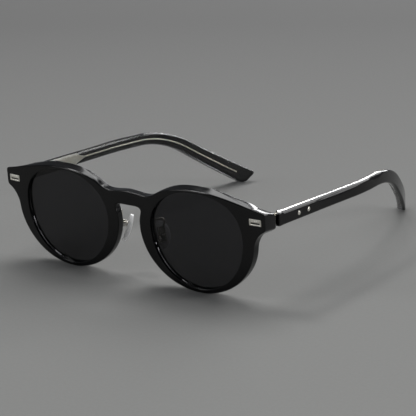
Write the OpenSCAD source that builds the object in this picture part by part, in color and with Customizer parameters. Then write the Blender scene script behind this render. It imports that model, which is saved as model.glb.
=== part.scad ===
// Round acetate sunglasses with a keyhole bridge, adjustable nose pads and folding temples.
// Millimetres. X runs across the face, the lenses face -Y, the temples reach back to +Y, +Z is up.
// The glasses stand open on z = 0, on the rim bottoms and the temple tips.

/* [Front] */
// Thickness of the front from its face to its back
front_t = 4.2; // [3.8:0.1:5]
// Radius of the gentle wrap of the front around the face
wrap_r = 1250; // [800:50:3000]
// Backward lean of the front's lower edge, in degrees
lean = 2.35; // [0:0.05:5]

/* [Lens opening] */
// Distance between the two lens openings at their widest line
nose_gap = 24.1; // [22:0.1:26]
// Width of the lens opening
lens_w = 48.4; // [47:0.1:49]
// Height of the lens opening above its widest line
lens_up = 18.5; // [17.5:0.1:19.5]
// Height of the lens opening below its widest line
lens_down = 24.7; // [23.5:0.1:26]
// Fullness of the upper outer corner, 2 is an ellipse
lens_corner = 2.35; // [2:0.05:2.6]

/* [Rim] */
// Rim width beside the nose
rim_nose = 6.1; // [5.6:0.1:6.5]
// Rim width at the outer side
rim_side = 5.6; // [5:0.1:6.2]
// Rim width above the lens
rim_top = 2.4; // [2.2:0.1:3.2]
// Rim width below the lens
rim_low = 1.7; // [1.6:0.1:3]
// Depth of the lens groove into the rim
groove_d = 0.6; // [0.4:0.05:0.8]

/* [Lens] */
// Thickness of each lens
lens_t = 2; // [1.6:0.1:2.2]
// Distance of the lens behind the front face
lens_set = 1.3; // [1:0.1:1.5]
// Clearance of the lens in its groove
lens_fit = 0.05; // [0.03:0.01:0.1]

/* [Bridge] */
// Height of the bridge's underside above the rim bottoms
bridge_low = 34.2; // [33:0.1:35.5]
// Height of the bridge's crown above the rim bottoms
bridge_top = 40.6; // [39.5:0.1:42]
// Drop of the bridge's top where it meets the rims
bridge_dip = 0.8; // [0.2:0.1:1.5]

/* [End pieces] */
// Distance from the lens opening's outer edge to the outer side
end_run = 12.05; // [11:0.05:13]
// Height of the end piece's top at its outer front corner
end_top = 40.6; // [39.8:0.1:41.5]
// Height of the end piece's bottom at its outer front corner
end_low = 32.9; // [32:0.1:33.5]
// Thickness of the end piece's return, seen from above
return_t = 6.9; // [6:0.1:7.5]
// Depth of the end piece from the front's foremost line to its rear end
return_v = 9.9; // [9:0.1:10.2]
// Drop of the return's top from front to rear
return_fall = 2.6; // [1:0.1:3.5]
// Drop of the return's bottom from front to rear
return_sag = 1.2; // [0.5:0.1:1.8]

/* [Front plaque] */
// Length of the metal plaque on each end piece
plaque_l = 6; // [5:0.1:6.5]
// Height of the plaque
plaque_h = 3; // [2.5:0.1:3.4]
// Thickness of the plaque
plaque_t = 0.55; // [0.4:0.05:0.8]
// Height of the plaque's face above the acetate
plaque_proud = 0.2; // [0.1:0.05:0.3]
// Distance of the plaque's centre from the outer side
plaque_in = 4.9; // [4.5:0.1:5.5]
// Height of the plaque's centre above the rim bottoms
plaque_w = 36.4; // [36:0.1:37]

/* [Hinge] */
// Outside radius of the hinge barrels
barrel_r = 1.4; // [1.3:0.05:1.5]
// Height of one barrel
barrel_h = 1; // [0.9:0.05:1.15]
// Gap between two barrels
barrel_gap = 0.1; // [0.08:0.02:0.14]
// Distance of the hinge axis inward from the outer side
hinge_in = 5.3; // [5.2:0.1:5.6]
// Depth of the hinge axis behind the front's foremost line
hinge_v = 11; // [10.9:0.1:11.6]
// Height of the hinge's middle above the rim bottoms
hinge_w = 35; // [34.6:0.1:35.3]
// Radius of the hinge screw's shank
hinge_pin_r = 0.6; // [0.5:0.05:0.7]
// Radial clearance of the temple's barrels on the screw
hinge_fit = 0.05; // [0.03:0.01:0.09]
// Clearance of the acetate around the turning barrels
pocket_fit = 0.3; // [0.3:0.05:0.5]

/* [Temple] */
// Thickness of the temple
temple_t = 4; // [3.8:0.1:4.3]
// Share of that thickness taken by the black outer layer, in millimetres
outer_layer = 1.8; // [1.5:0.1:2]
// Height of the temple at the hinge
temple_h = 5.7; // [5.3:0.1:6]
// Height of the temple where it starts to bend down
bend_h = 5.5; // [5.2:0.1:6]
// Height of the temple at the end of the bend
ear_h = 6.3; // [5.8:0.1:6.8]
// Widening of the temple's tip, in millimetres of height per millimetre of length
tip_flare = 0.03; // [0:0.005:0.05]
// Length from the hinge axis to the start of the bend
reach = 80; // [78:0.2:82]
// Radius of the bend over the ear
bend_r = 49; // [44:1:54]
// Fall of the straight part, in degrees
fall = 2.4; // [1.8:0.1:2.8]
// Fall of the tip, in degrees
tip_fall = 35.8; // [34:0.2:38]
// Distance from the hinge axis to where the temple starts to bow inward
bow_start = 56.6; // [52:0.2:60]
// Radius of the inward bow
bow_r = 141; // [135:1:150]
// Length of the tip's foot that stands on the ground
foot_l = 2; // [1.6:0.1:2.4]
// Rise of the tip's end above the ground, in degrees
tip_rise = 49; // [44:1:56]
// Radius of the tip's rear corner
tip_r = 1.3; // [1:0.1:1.6]
// Radius of the two lower corners of the tip
heel_r = 1; // [0.6:0.1:1.2]

/* [Temple core] */
// Height of the core wire
wire_h = 0.8; // [0.7:0.05:1.2]
// Thickness of the core wire
wire_t = 1.1; // [0.9:0.1:1.2]
// Height of the hinge blade inside the temple
blade_h = 4.4; // [4:0.1:4.8]
// Thickness of the hinge blade
blade_t = 0.9; // [0.8:0.1:1]
// Length from the hinge axis to where the blade starts to taper
blade_l = 34; // [30:0.5:36]
// Length of the blade's taper
blade_taper = 6; // [4:0.5:8]
// Length of acetate from the end of the core wire to the tip's heel
wire_short = 5; // [4:0.5:8]
// Clearance of the core in its channel
core_fit = 0.04; // [0.02:0.01:0.08]
// Radius of the rivet heads on the temple
rivet_r = 0.95; // [0.8:0.05:1.1]
// Radius of the rivet shanks
rivet_shank_r = 0.6; // [0.5:0.05:0.7]
// Height of a rivet's head above the temple
rivet_proud = 0.3; // [0.2:0.05:0.4]
// Distance of the first rivet from the hinge axis
rivet_first = 15.4; // [14:0.1:17]
// Distance between the two rivets
rivet_pitch = 7; // [6:0.1:8]

/* [Nose pads] */
// Length of a nose pad
pad_l = 12.6; // [12:0.1:14]
// Width of a nose pad
pad_w = 7.4; // [6.8:0.1:8]
// Thickness of a nose pad
pad_t = 2.4; // [2.2:0.1:2.8]
// How far each pad's middle is inside the nose edge of the lens opening
pad_in = 2.45; // [1:0.05:2.8]
// Depth of the pad's middle behind the front's foremost line
pad_v = 10.6; // [10.2:0.1:12]
// Height of the pad's middle above the rim bottoms
pad_z = 18.9; // [17:0.1:20]
// Lean of the pad towards the nose, in degrees
pad_lean = 22; // [18:1:26]
// Turn of the pad towards the face, in degrees
pad_splay = 38; // [34:1:40]
// Radius of the pad arm's wire
arm_r = 0.5; // [0.4:0.05:0.6]
// Radius of the pad arm's foot in the rim
foot_r = 0.9; // [0.8:0.05:1]
// Depth of the foot in the rim
foot_d = 1.4; // [1.2:0.1:1.6]
// Radius of the pad screw's shank
pad_pin_r = 0.4; // [0.35:0.05:0.45]
// Radial clearance of the pad's tab on its screw
pad_fit = 0.05; // [0.03:0.01:0.09]

/* [Hidden] */

big = 90;
round_fn = 48;
wrap_fn = 1440;
bow_fn = 360;
oval_step = 3.75;

lens_seat_x = lens_w / 2;
lens_x = nose_gap / 2 + lens_seat_x;
lens_line = lens_down + rim_low;
side_x = lens_x + lens_seat_x + end_run;
hinge_x = side_x - hinge_in;

function wrap_v(x) = x * x / (2 * wrap_r);
function wrap_turn(x) = asin(x / wrap_r);

// World place of a point of the leaning front, before the shift that centres the glasses
function lean_y(v, w) = v * cos(lean) - w * sin(lean);
function lean_z(v, w) = v * sin(lean) + w * cos(lean);

hinge_y = lean_y(hinge_v, hinge_w);
hinge_z = lean_z(hinge_v, hinge_w);

// Side path of the temple from the hinge: straight, a bend over the ear, straight to the tip
bend_len = bend_r * (tip_fall - fall) * PI / 180;
bend_end = reach + bend_len;
function path_turn(s) =
  s < reach ? fall :
  s < bend_end ? fall + (s - reach) / bend_r * 180 / PI :
  tip_fall;
function path_at(s) =
  let (a = [reach * cos(fall), -reach * sin(fall)])
  let (turned = min(max(s, reach), bend_end))
  let (h = path_turn(turned))
  let (b = a + bend_r * [sin(h) - sin(fall), cos(h) - cos(fall)])
  s < reach ? [s * cos(fall), -s * sin(fall)] :
  b + max(s - bend_end, 0) * [cos(tip_fall), -sin(tip_fall)];
function up_at(s) = [sin(path_turn(s)), cos(path_turn(s))];
function half_h(s) = s < bend_end ?
  lookup(s, [[0, temple_h / 2], [reach, bend_h / 2], [bend_end, ear_h / 2]]) :
  (ear_h + tip_flare * (s - bend_end)) / 2;
function path_edge(s, side) = path_at(s) + side * half_h(s) * up_at(s);

// The tip: its lower edge runs to the heel on the ground, a short foot stands there, and the end
// rises from the foot to the top edge
function cross_of(a, b) = a[0] * b[1] - a[1] * b[0];
function unit(v) = v / norm(v);
ear_top = path_edge(bend_end, 1);
ear_low = path_edge(bend_end, -1);
top_way = path_edge(bend_end + 1, 1) - ear_top;
low_way = path_edge(bend_end + 1, -1) - ear_low;
heel_run = -(ear_low[1] + hinge_z) / low_way[1];
heel = ear_low + heel_run * low_way;
foot = heel + [foot_l, 0];
end_way = [cos(tip_rise), sin(tip_rise)];
tip = foot + cross_of(ear_top - foot, top_way) / cross_of(end_way, top_way) * end_way;

// The middle of a round of radius r in the corner p between a and b, and the round's points
function corner_middle(p, a, b, r) =
  let (way = unit(a - p) + unit(b - p))
  let (half = acos(unit(a - p) * unit(b - p)) / 2)
  p + unit(way) * r / sin(half);
function corner_points(p, a, b, r, n) =
  let (c = corner_middle(p, a, b, r))
  let (half = acos(unit(a - p) * unit(b - p)) / 2)
  let (p0 = p + unit(a - p) * r / tan(half))
  let (p1 = p + unit(b - p) * r / tan(half))
  [for (i = [0 : n]) c + r * unit(p0 + (p1 - p0) * i / n - c)];
rear_y = corner_middle(tip, ear_top, foot, tip_r)[0] + tip_r;

// Shift that puts the middle of the whole length at y = 0
front_y = -(lean_y(0, bridge_top) + hinge_y + rear_y) / 2;

// Shapes of the front, drawn flat with x across and w up

function quad_oval(nose, side, up, down, corner) = [
  for (a = [0 : oval_step : 360 - oval_step])
    let (c = cos(a), s = sin(a))
    let (n = (c > 0 && s > 0) ? corner : 2)
    [
      sign(c) * (c > 0 ? side : nose) * pow(abs(c), 2 / n),
      sign(s) * (s > 0 ? up : down) * pow(abs(s), 2 / n)
    ]
];

function bezier(p0, p1, p2, p3, n) = [
  for (i = [0 : n])
    let (t = i / n, u = 1 - t)
    u * u * u * p0 + 3 * u * u * t * p1 + 3 * u * t * t * p2 + t * t * t * p3
];

module lens_oval(grow) {
  translate([lens_x, lens_line])
    polygon(quad_oval(lens_seat_x + grow, lens_seat_x + grow, lens_up + grow, lens_down + grow, lens_corner));
}

module rim_oval() {
  translate([lens_x, lens_line])
    polygon(quad_oval(lens_seat_x + rim_nose, lens_seat_x + rim_side, lens_up + rim_top,
                      lens_down + rim_low, lens_corner));
}

module end_shape() {
  rim_out = lens_x + lens_seat_x + rim_side;
  rim_up = lens_line + lens_up + rim_top;
  rim_half = lens_seat_x + rim_side;
  top = bezier([lens_x + 0.37 * rim_half, rim_up - 0.9], [lens_x + 0.64 * rim_half, rim_up - 2.3],
               [side_x - 9, end_top + 1.5], [side_x, end_top], 12);
  low = bezier([side_x, end_low], [side_x - 3.4, end_low - 1.4], [rim_out + 0.7, lens_line + 2.6],
               [rim_out - 0.8, lens_line - 4], 8);
  inner = [[lens_x + lens_seat_x + 1, lens_line], [lens_x + 0.37 * rim_half, lens_line + lens_up - 1]];
  polygon(concat(top, low, inner));
}

module bridge_shape() {
  nose_in = lens_x - lens_seat_x;
  top = bezier([0, bridge_top], [4, bridge_top], [6, bridge_top - bridge_dip],
               [nose_in - 2.2, bridge_top - bridge_dip], 6);
  sweep = bezier([nose_in - 2.2, bridge_top - bridge_dip], [nose_in + 1, bridge_top - bridge_dip],
                 [nose_in + 4.5, bridge_top + 1.3], [nose_in + 7.6, bridge_top + 2.9], 6);
  low = bezier([nose_in - 4.6, bridge_low - 3.4], [nose_in - 4.6, bridge_low - 1], [nose_in - 5, bridge_low],
               [nose_in - 7.5, bridge_low], 6);
  inner = [[nose_in + 7.6, bridge_top], [nose_in - 1, bridge_low - 3.4]];
  polygon(concat(top, sweep, inner, low, [[0, bridge_low]]));
}

module half_outline() {
  difference() {
    union() {
      rim_oval();
      end_shape();
      bridge_shape();
    }
    lens_oval(0);
  }
}

// Solids of the front, drawn with x across, v backward and w up

module upright(v0, v1) {
  translate([0, v1, 0])
    rotate([90, 0, 0])
      linear_extrude(v1 - v0)
        children();
}

module wrap_shell(d0, d1) {
  translate([0, wrap_r, -big / 2])
    difference() {
      cylinder(r = wrap_r - d0, h = 2 * big, $fn = wrap_fn);
      translate([0, 0, -1])
        cylinder(r = wrap_r - d1, h = 2 * big + 2, $fn = wrap_fn);
    }
}

module both_sides() {
  children();
  mirror([1, 0, 0])
    children();
}

module place_front() {
  translate([0, front_y, 0])
    rotate([lean, 0, 0])
      children();
}

module end_return() {
  front_v = wrap_v(side_x);
  translate([side_x - return_t, 0, 0])
    rotate([90, 0, 90])
      linear_extrude(return_t)
        polygon([
          [front_v + front_t / 2, end_low],
          [front_v + front_t / 2, end_top],
          [return_v, end_top - return_fall],
          [return_v, end_low - return_sag]
        ]);
}

module hinge_pocket() {
  translate([hinge_x, hinge_v, 0])
    cylinder(r = barrel_r + pocket_fit, h = big, $fn = round_fn);
}

module front_frame() {
  color([0.02, 0.02, 0.02])
    place_front()
      difference() {
        union() {
          intersection() {
            upright(-2, 9)
              union()
                both_sides()
                  half_outline();
            wrap_shell(0, front_t);
          }
          both_sides()
            end_return();
        }
        both_sides() {
          intersection() {
            upright(-2, 9)
              lens_oval(groove_d);
            wrap_shell(lens_set - lens_fit, lens_set + lens_t + lens_fit);
          }
          hinge_pocket();
          plaque_place()
            plaque_solid(plaque_clear, plaque_deep);
          leaf_plate(leaf_fit);
          pad_foot(foot_fit);
        }
      }
}

// Lenses

module lens() {
  color([0.1, 0.1, 0.11, 0.75])
    place_front()
      intersection() {
        upright(-2, 9)
          lens_oval(groove_d - lens_fit);
        wrap_shell(lens_set, lens_set + lens_t);
      }
}

// Front plaques: a plate with a raised border and bar, on two studs

plaque_clear = 0.04;
plaque_deep = 0.05;
stud_r = 0.5;
stud_l = 2.4;
border_w = 0.4;
border_t = 0.16;

module plaque_place() {
  plaque_x = side_x - plaque_in;
  translate([plaque_x, wrap_v(plaque_x), plaque_w])
    rotate([0, 0, wrap_turn(plaque_x)])
      children();
}

module plaque_solid(side_gap, floor_gap) {
  translate([0, (plaque_t + floor_gap) / 2 - plaque_proud, 0])
    cube([plaque_l + 2 * side_gap, plaque_t + floor_gap, plaque_h + 2 * side_gap], center = true);
  for (s = [-1, 1])
    translate([s * plaque_l / 4, 0, 0])
      rotate([-90, 0, 0])
        cylinder(r = stud_r + side_gap, h = stud_l + floor_gap, $fn = round_fn);
}

module front_plaque() {
  color([0.84, 0.82, 0.76])
    place_front()
      plaque_place()
        difference() {
          plaque_solid(0, 0);
          translate([0, -plaque_proud, 0])
            difference() {
              cube([plaque_l - 2 * border_w, 2 * border_t, plaque_h - 2 * border_w], center = true);
              translate([0, 0, border_w / 4])
                cube([plaque_l / 2, 4 * border_t, border_w * 1.5], center = true);
            }
        }
}

// Hinges: five barrels, three on the front's leaf and two on the temple's blade

leaf_return_gap = 0.1;
leaf_x = lens_x + lens_seat_x + 0.15;
leaf_l = side_x - return_t - leaf_return_gap - leaf_x;
leaf_t = 1;
leaf_sunk = 0.6;
leaf_fit = 0.04;
barrel_count = 5;
barrel_pitch = barrel_h + barrel_gap;
hinge_h = barrel_count * barrel_h + (barrel_count - 1) * barrel_gap;
hinge_base = hinge_w - hinge_h / 2;
screw_head_r = 1;
screw_head_h = 0.45;
screw_fit = 0.03;

function leaf_back(x) = wrap_v(x) + front_t - leaf_sunk;

module leaf_plate(gap) {
  translate([leaf_x - gap, leaf_back(leaf_x + leaf_l / 2) - gap, hinge_base - gap])
    cube([leaf_l + 2 * gap, leaf_t + gap, hinge_h + 2 * gap]);
}

module barrel_row(first) {
  for (i = [first : 2 : barrel_count - 1])
    translate([0, 0, hinge_base + i * barrel_pitch])
      children();
}

module front_knuckle() {
  leaf_v = leaf_back(leaf_x + leaf_l / 2) + leaf_t / 2;
  translate([hinge_x, hinge_v, 0])
    cylinder(r = barrel_r, h = barrel_h, $fn = round_fn);
  linear_extrude(barrel_h)
    polygon([
      [leaf_x + 0.4 * leaf_l, leaf_v],
      [leaf_x + leaf_l, leaf_v],
      [leaf_x + leaf_l, return_v + 0.15],
      [hinge_x - 0.3, return_v + 0.15],
      [hinge_x, hinge_v],
      [hinge_x - 0.8, hinge_v + 1],
      [hinge_x - 1.6, hinge_v + 0.7],
      [leaf_x + 0.4 * leaf_l, hinge_v - 3]
    ]);
}

module front_hinge() {
  color([0.8, 0.78, 0.74])
    place_front()
      difference() {
        union() {
          leaf_plate(0);
          barrel_row(0)
            front_knuckle();
        }
        translate([hinge_x, hinge_v, hinge_base - 1])
          cylinder(r = hinge_pin_r + screw_fit, h = hinge_h + 2, $fn = round_fn);
        translate([hinge_x, hinge_v, hinge_base + hinge_h - screw_head_h])
          cylinder(r = screw_head_r + screw_fit, h = 1, $fn = round_fn);
      }
}

module hinge_screw() {
  color([0.75, 0.73, 0.7])
    place_front()
      translate([hinge_x, hinge_v, hinge_base])
        difference() {
          union() {
            cylinder(r = hinge_pin_r, h = hinge_h - screw_head_h / 2, $fn = round_fn);
            translate([0, 0, hinge_h - screw_head_h])
              cylinder(r = screw_head_r, h = screw_head_h + 0.1, $fn = round_fn);
          }
          translate([0, 0, hinge_h])
            cube([3 * screw_head_r, 0.3, 0.5], center = true);
        }
}

// Temples, drawn from the hinge axis: x as in the whole, y backward, z up

blade_depth = outer_layer + 0.55;
wire_depth = outer_layer + 0.5;
temple_start = 1.1;
knuckle_run = 3.4;
knuckle_fit = 0.2;

module place_temple() {
  translate([0, front_y + hinge_y, hinge_z])
    children();
}

module side_view(points) {
  rotate([90, 0, 90])
    linear_extrude(side_x + 2)
      polygon(points);
}

// A layer of the temple between two depths below its outer face, seen from above
module plan_layer(d0, d1) {
  translate([0, 0, -big / 2])
    linear_extrude(big)
      union() {
        translate([side_x - d1, temple_start])
          square([d1 - d0, bow_start - temple_start]);
        intersection() {
          translate([side_x - bow_r, bow_start])
            difference() {
              circle(r = bow_r - d0, $fn = bow_fn);
              circle(r = bow_r - d1, $fn = bow_fn);
            }
          translate([side_x - bow_r, bow_start])
            square([bow_r, bow_r]);
        }
      }
}

path_marks = concat(
  [temple_start, reach / 2],
  [for (i = [0 : 12]) reach + bend_len * i / 12]
);

module temple_side() {
  side_view(concat(
    [for (s = path_marks) path_edge(s, 1)],
    corner_points(tip, ear_top, foot, tip_r, 8),
    corner_points(foot, tip, heel, heel_r, 4),
    corner_points(heel, foot, ear_low, heel_r, 4),
    [for (i = [len(path_marks) - 1 : -1 : 0]) path_edge(path_marks[i], -1)]
  ));
}

// A band along the path, between two lengths, with its own half height
module path_band(s0, s1, half) {
  marks = concat([s0], [for (s = path_marks) if (s > s0 + 1 && s < s1 - 1) s], [s1]);
  side_view(concat(
    [for (s = marks) path_at(s) + half * up_at(s)],
    [for (i = [len(marks) - 1 : -1 : 0]) path_at(marks[i]) - half * up_at(marks[i])]
  ));
}

wire_start = blade_l + blade_taper;
wire_end = bend_end + heel_run - wire_short;

module core_wire_solid(gap) {
  intersection() {
    path_band(wire_start - gap, wire_end + gap, wire_h / 2 + gap);
    plan_layer(wire_depth - gap, wire_depth + wire_t + gap);
  }
}

module blade_solid(gap) {
  blade_start = temple_start + 0.9;
  intersection() {
    side_view([
      path_at(blade_start) + (blade_h / 2 + gap) * up_at(0),
      path_at(blade_l) + (blade_h / 2 + gap) * up_at(0),
      path_at(wire_start + gap) + (wire_h / 2 + gap) * up_at(0),
      path_at(wire_start + gap) - (wire_h / 2 + gap) * up_at(0),
      path_at(blade_l) - (blade_h / 2 + gap) * up_at(0),
      path_at(blade_start) - (blade_h / 2 + gap) * up_at(0)
    ]);
    plan_layer(blade_depth - gap, blade_depth + blade_t + gap);
  }
}

// Open mouth in the temple's front end for the blade's knuckles
module knuckle_mouth() {
  mouth_h = hinge_h + 0.4;
  mouth_l = knuckle_run + knuckle_fit - temple_start + 1;
  translate([side_x - temple_t - 1, temple_start - 1, -mouth_h / 2])
    cube([temple_t + 1 - blade_depth + 0.3, mouth_l, mouth_h]);
}

module rivet_places() {
  for (i = [0, 1])
    let (p = path_at(rivet_first + i * rivet_pitch))
      translate([side_x, p[0], p[1]])
        rotate([0, -90, 0])
          children();
}

module rivet_shank() {
  cylinder(r = rivet_shank_r, h = blade_depth + blade_t, $fn = round_fn);
}

// Bore for a rivet, begun outside the temple's face
module rivet_bore() {
  translate([0, 0, -1])
    cylinder(r = rivet_shank_r + core_fit, h = blade_depth + blade_t + core_fit + 1, $fn = round_fn);
}

module turn_room() {
  translate([0, -front_y - hinge_y, -hinge_z])
    place_front()
      hinge_pocket();
}

module temple_outer() {
  color([0.02, 0.02, 0.02])
    place_temple()
      difference() {
        intersection() {
          temple_side();
          plan_layer(0, outer_layer);
        }
        turn_room();
        rivet_places()
          rivet_bore();
      }
}

module temple_inner() {
  color([0.75, 0.76, 0.78, 0.4])
    place_temple()
      difference() {
        intersection() {
          temple_side();
          plan_layer(outer_layer, temple_t);
        }
        turn_room();
        knuckle_mouth();
        blade_solid(core_fit);
        core_wire_solid(core_fit);
        rivet_places()
          rivet_bore();
      }
}

module core_wire() {
  color([0.83, 0.8, 0.7])
    place_temple()
      core_wire_solid(0);
}

module temple_knuckle() {
  translate([hinge_x, hinge_v, 0])
    cylinder(r = barrel_r, h = barrel_h, $fn = round_fn);
  linear_extrude(barrel_h)
    polygon([
      [hinge_x, hinge_v],
      [hinge_x + 1.2, hinge_v - 0.4],
      [side_x - blade_depth, hinge_v + 1.6],
      [side_x - blade_depth, hinge_v + knuckle_run],
      [side_x - blade_depth - blade_t, hinge_v + knuckle_run],
      [hinge_x + 0.9, hinge_v + 2.2],
      [hinge_x - 0.4, hinge_v + 1.3]
    ]);
}

module temple_hinge() {
  color([0.8, 0.77, 0.68])
    difference() {
      union() {
        place_temple()
          blade_solid(0);
        place_front()
          barrel_row(1)
            temple_knuckle();
      }
      place_front()
        translate([hinge_x, hinge_v, hinge_base - 1])
          cylinder(r = hinge_pin_r + hinge_fit, h = hinge_h + 2, $fn = round_fn);
      place_temple()
        rivet_places()
          rivet_bore();
    }
}

module temple_rivets() {
  head_r = (rivet_r * rivet_r + rivet_proud * rivet_proud) / (2 * rivet_proud);
  color([0.84, 0.82, 0.76])
    place_temple()
      rivet_places()
        union() {
          rivet_shank();
          intersection() {
            translate([0, 0, head_r - rivet_proud])
              sphere(r = head_r, $fn = round_fn);
            translate([0, 0, -rivet_proud])
              cylinder(r = rivet_r, h = rivet_proud, $fn = round_fn);
          }
        }
}

// Nose pads, drawn about the pad's middle: the pad faces -x, y runs across it, z along it

foot_fit = 0.04;
arm_bend = 1.6;
arm_turn = 110;
foot_in = 2.85;
foot_x = lens_x - lens_seat_x - foot_in;
pad_x = lens_x - lens_seat_x - pad_in;
foot_w = 27.4;
pin_x = 2.3;
pin_z = 1.5;
tab_w = 1.5;
tab_half = 0.7;
box_gap = 0.15;
box_wall = 0.4;
box_floor_x = pin_x + 1.25;
core_plate_t = 0.5;
core_plate_l = 7;
core_plate_w = 3.4;
pad_back_x = 1.1;
pad_crown_r = 22;
crown_fn = 120;

module place_pad() {
  translate([pad_x, pad_v, pad_z])
    rotate([0, -pad_lean, -pad_splay])
      children();
}

module pad_foot(gap) {
  translate([foot_x, wrap_v(foot_x) + front_t - foot_d - gap, foot_w])
    rotate([-90, 0, 0])
      cylinder(r = foot_r + gap, h = foot_d + 1, $fn = round_fn);
}

// The arm's wire: back from the foot, round a bend, and down into the box
module arm_wire(from, to) {
  out = norm([to[0] - from[0], to[1] - from[1]]);
  last_l = (from[2] - to[2] - arm_bend * (1 - cos(arm_turn))) / sin(arm_turn);
  first_l = out - arm_bend * sin(arm_turn) - last_l * cos(arm_turn);
  translate(from)
    rotate([0, 0, atan2(to[1] - from[1], to[0] - from[0])]) {
      rotate([0, 90, 0])
        cylinder(r = arm_r, h = first_l, $fn = round_fn);
      translate([first_l, 0, -arm_bend])
        rotate([90, 0, 0])
          rotate([0, 0, 90 - arm_turn])
            rotate_extrude(angle = arm_turn, $fn = round_fn)
              translate([arm_bend, 0])
                circle(r = arm_r, $fn = round_fn);
      translate([first_l + arm_bend * sin(arm_turn), 0, -arm_bend * (1 - cos(arm_turn))])
        rotate([0, 90 + arm_turn, 0])
          cylinder(r = arm_r, h = last_l, $fn = round_fn);
    }
}

function turn_y(p, a) = [p[0] * cos(a) + p[2] * sin(a), p[1], -p[0] * sin(a) + p[2] * cos(a)];
function turn_z(p, a) = [p[0] * cos(a) - p[1] * sin(a), p[0] * sin(a) + p[1] * cos(a), p[2]];
function pad_point(p) = [pad_x, pad_v, pad_z] + turn_z(turn_y(p, -pad_lean), -pad_splay);

module pad_box() {
  wall_x = 1.55;
  half_y = tab_w / 2 + box_gap;
  for (s = [-1, 1])
    translate([wall_x, s * (half_y + box_wall / 2) - box_wall / 2, pin_z - 1.1])
      cube([box_floor_x + box_wall - wall_x, box_wall, 2.2]);
  translate([box_floor_x, -half_y - box_wall, pin_z - 1.1])
    cube([box_wall, 2 * (half_y + box_wall), 2.2]);
}

module pad_arm() {
  floor_mid = pad_point([box_floor_x + box_wall / 2, 0, pin_z + 0.4]);
  foot = [foot_x, wrap_v(foot_x) + front_t, foot_w];
  color([0.8, 0.78, 0.74])
    place_front()
      difference() {
        union() {
          pad_foot_solid();
          arm_wire(foot, floor_mid);
          place_pad()
            pad_box();
        }
        place_pad()
          translate([pin_x, 0, pin_z])
            rotate([90, 0, 0])
              cylinder(r = pad_pin_r + foot_fit, h = 8, center = true, $fn = round_fn);
      }
}

module pad_foot_solid() {
  translate([foot_x, wrap_v(foot_x) + front_t - foot_d, foot_w])
    rotate([-90, 0, 0])
      cylinder(r = foot_r, h = foot_d + 0.5, $fn = round_fn);
}

module pad_screw() {
  half_y = tab_w / 2 + box_gap + box_wall;
  color([0.78, 0.76, 0.72])
    place_front()
      place_pad()
        translate([pin_x, 0, pin_z])
          rotate([90, 0, 0])
            union() {
              cylinder(r = pad_pin_r, h = 2 * half_y, center = true, $fn = round_fn);
              translate([0, 0, half_y])
                cylinder(r = 0.75, h = 0.45, $fn = round_fn);
            }
}

module pad_core_solid() {
  translate([pad_back_x - core_plate_t, -core_plate_w / 2, -core_plate_l / 2])
    cube([core_plate_t, core_plate_w, core_plate_l]);
  translate([pad_back_x - core_plate_t, -tab_w / 2, pin_z - tab_half])
    cube([pin_x + tab_half - pad_back_x + core_plate_t, tab_w, 2 * tab_half]);
}

module pad_core() {
  color([0.8, 0.78, 0.7])
    place_front()
      place_pad()
        difference() {
          pad_core_solid();
          translate([pin_x, 0, pin_z])
            rotate([90, 0, 0])
              cylinder(r = pad_pin_r + pad_fit, h = 8, center = true, $fn = round_fn);
        }
}

module nose_pad() {
  color([0.9, 0.92, 0.93, 0.6])
    place_front()
      place_pad()
        difference() {
          intersection() {
            translate([pad_back_x - pad_t, 0, 0])
              rotate([90, 0, 90])
                linear_extrude(pad_t)
                  polygon(quad_oval(pad_w / 2, pad_w / 2, pad_l / 2, pad_l / 2, 2));
            translate([pad_back_x - pad_t + pad_crown_r, 0, 0])
              sphere(r = pad_crown_r, $fn = crown_fn);
          }
          pad_core_solid();
        }
}

module other_side() {
  mirror([1, 0, 0])
    children();
}

front_frame();
lens();  // left_lens
other_side() lens();  // right_lens
front_plaque();  // left_front_plaque
other_side() front_plaque();  // right_front_plaque
front_hinge();  // left_front_hinge
other_side() front_hinge();  // right_front_hinge
hinge_screw();  // left_hinge_screw
other_side() hinge_screw();  // right_hinge_screw
temple_hinge();  // left_temple_hinge
other_side() temple_hinge();  // right_temple_hinge
temple_outer();  // left_temple_outer
other_side() temple_outer();  // right_temple_outer
temple_inner();  // left_temple_inner
other_side() temple_inner();  // right_temple_inner
core_wire();  // left_core_wire
other_side() core_wire();  // right_core_wire
temple_rivets();  // left_temple_rivets
other_side() temple_rivets();  // right_temple_rivets
pad_arm();  // left_pad_arm
other_side() pad_arm();  // right_pad_arm
pad_screw();  // left_pad_screw
other_side() pad_screw();  // right_pad_screw
pad_core();  // left_pad_core
other_side() pad_core();  // right_pad_core
nose_pad();  // left_nose_pad
other_side() nose_pad();  // right_nose_pad
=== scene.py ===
"""Round acetate sunglasses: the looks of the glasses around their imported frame.

Every size is in millimetres until a mesh is written. The front's own frame is (x across
the face, v backward, w up), before the front is leaned and set on the ground. An outline
is a closed loop of points whose last point joins its first.
"""

import logging
import math
from dataclasses import dataclass, field
from enum import Enum
from typing import Callable, Sequence

import bmesh
import bpy
import numpy as np
from mathutils import Matrix, Vector
from mathutils.geometry import delaunay_2d_cdt


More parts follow.
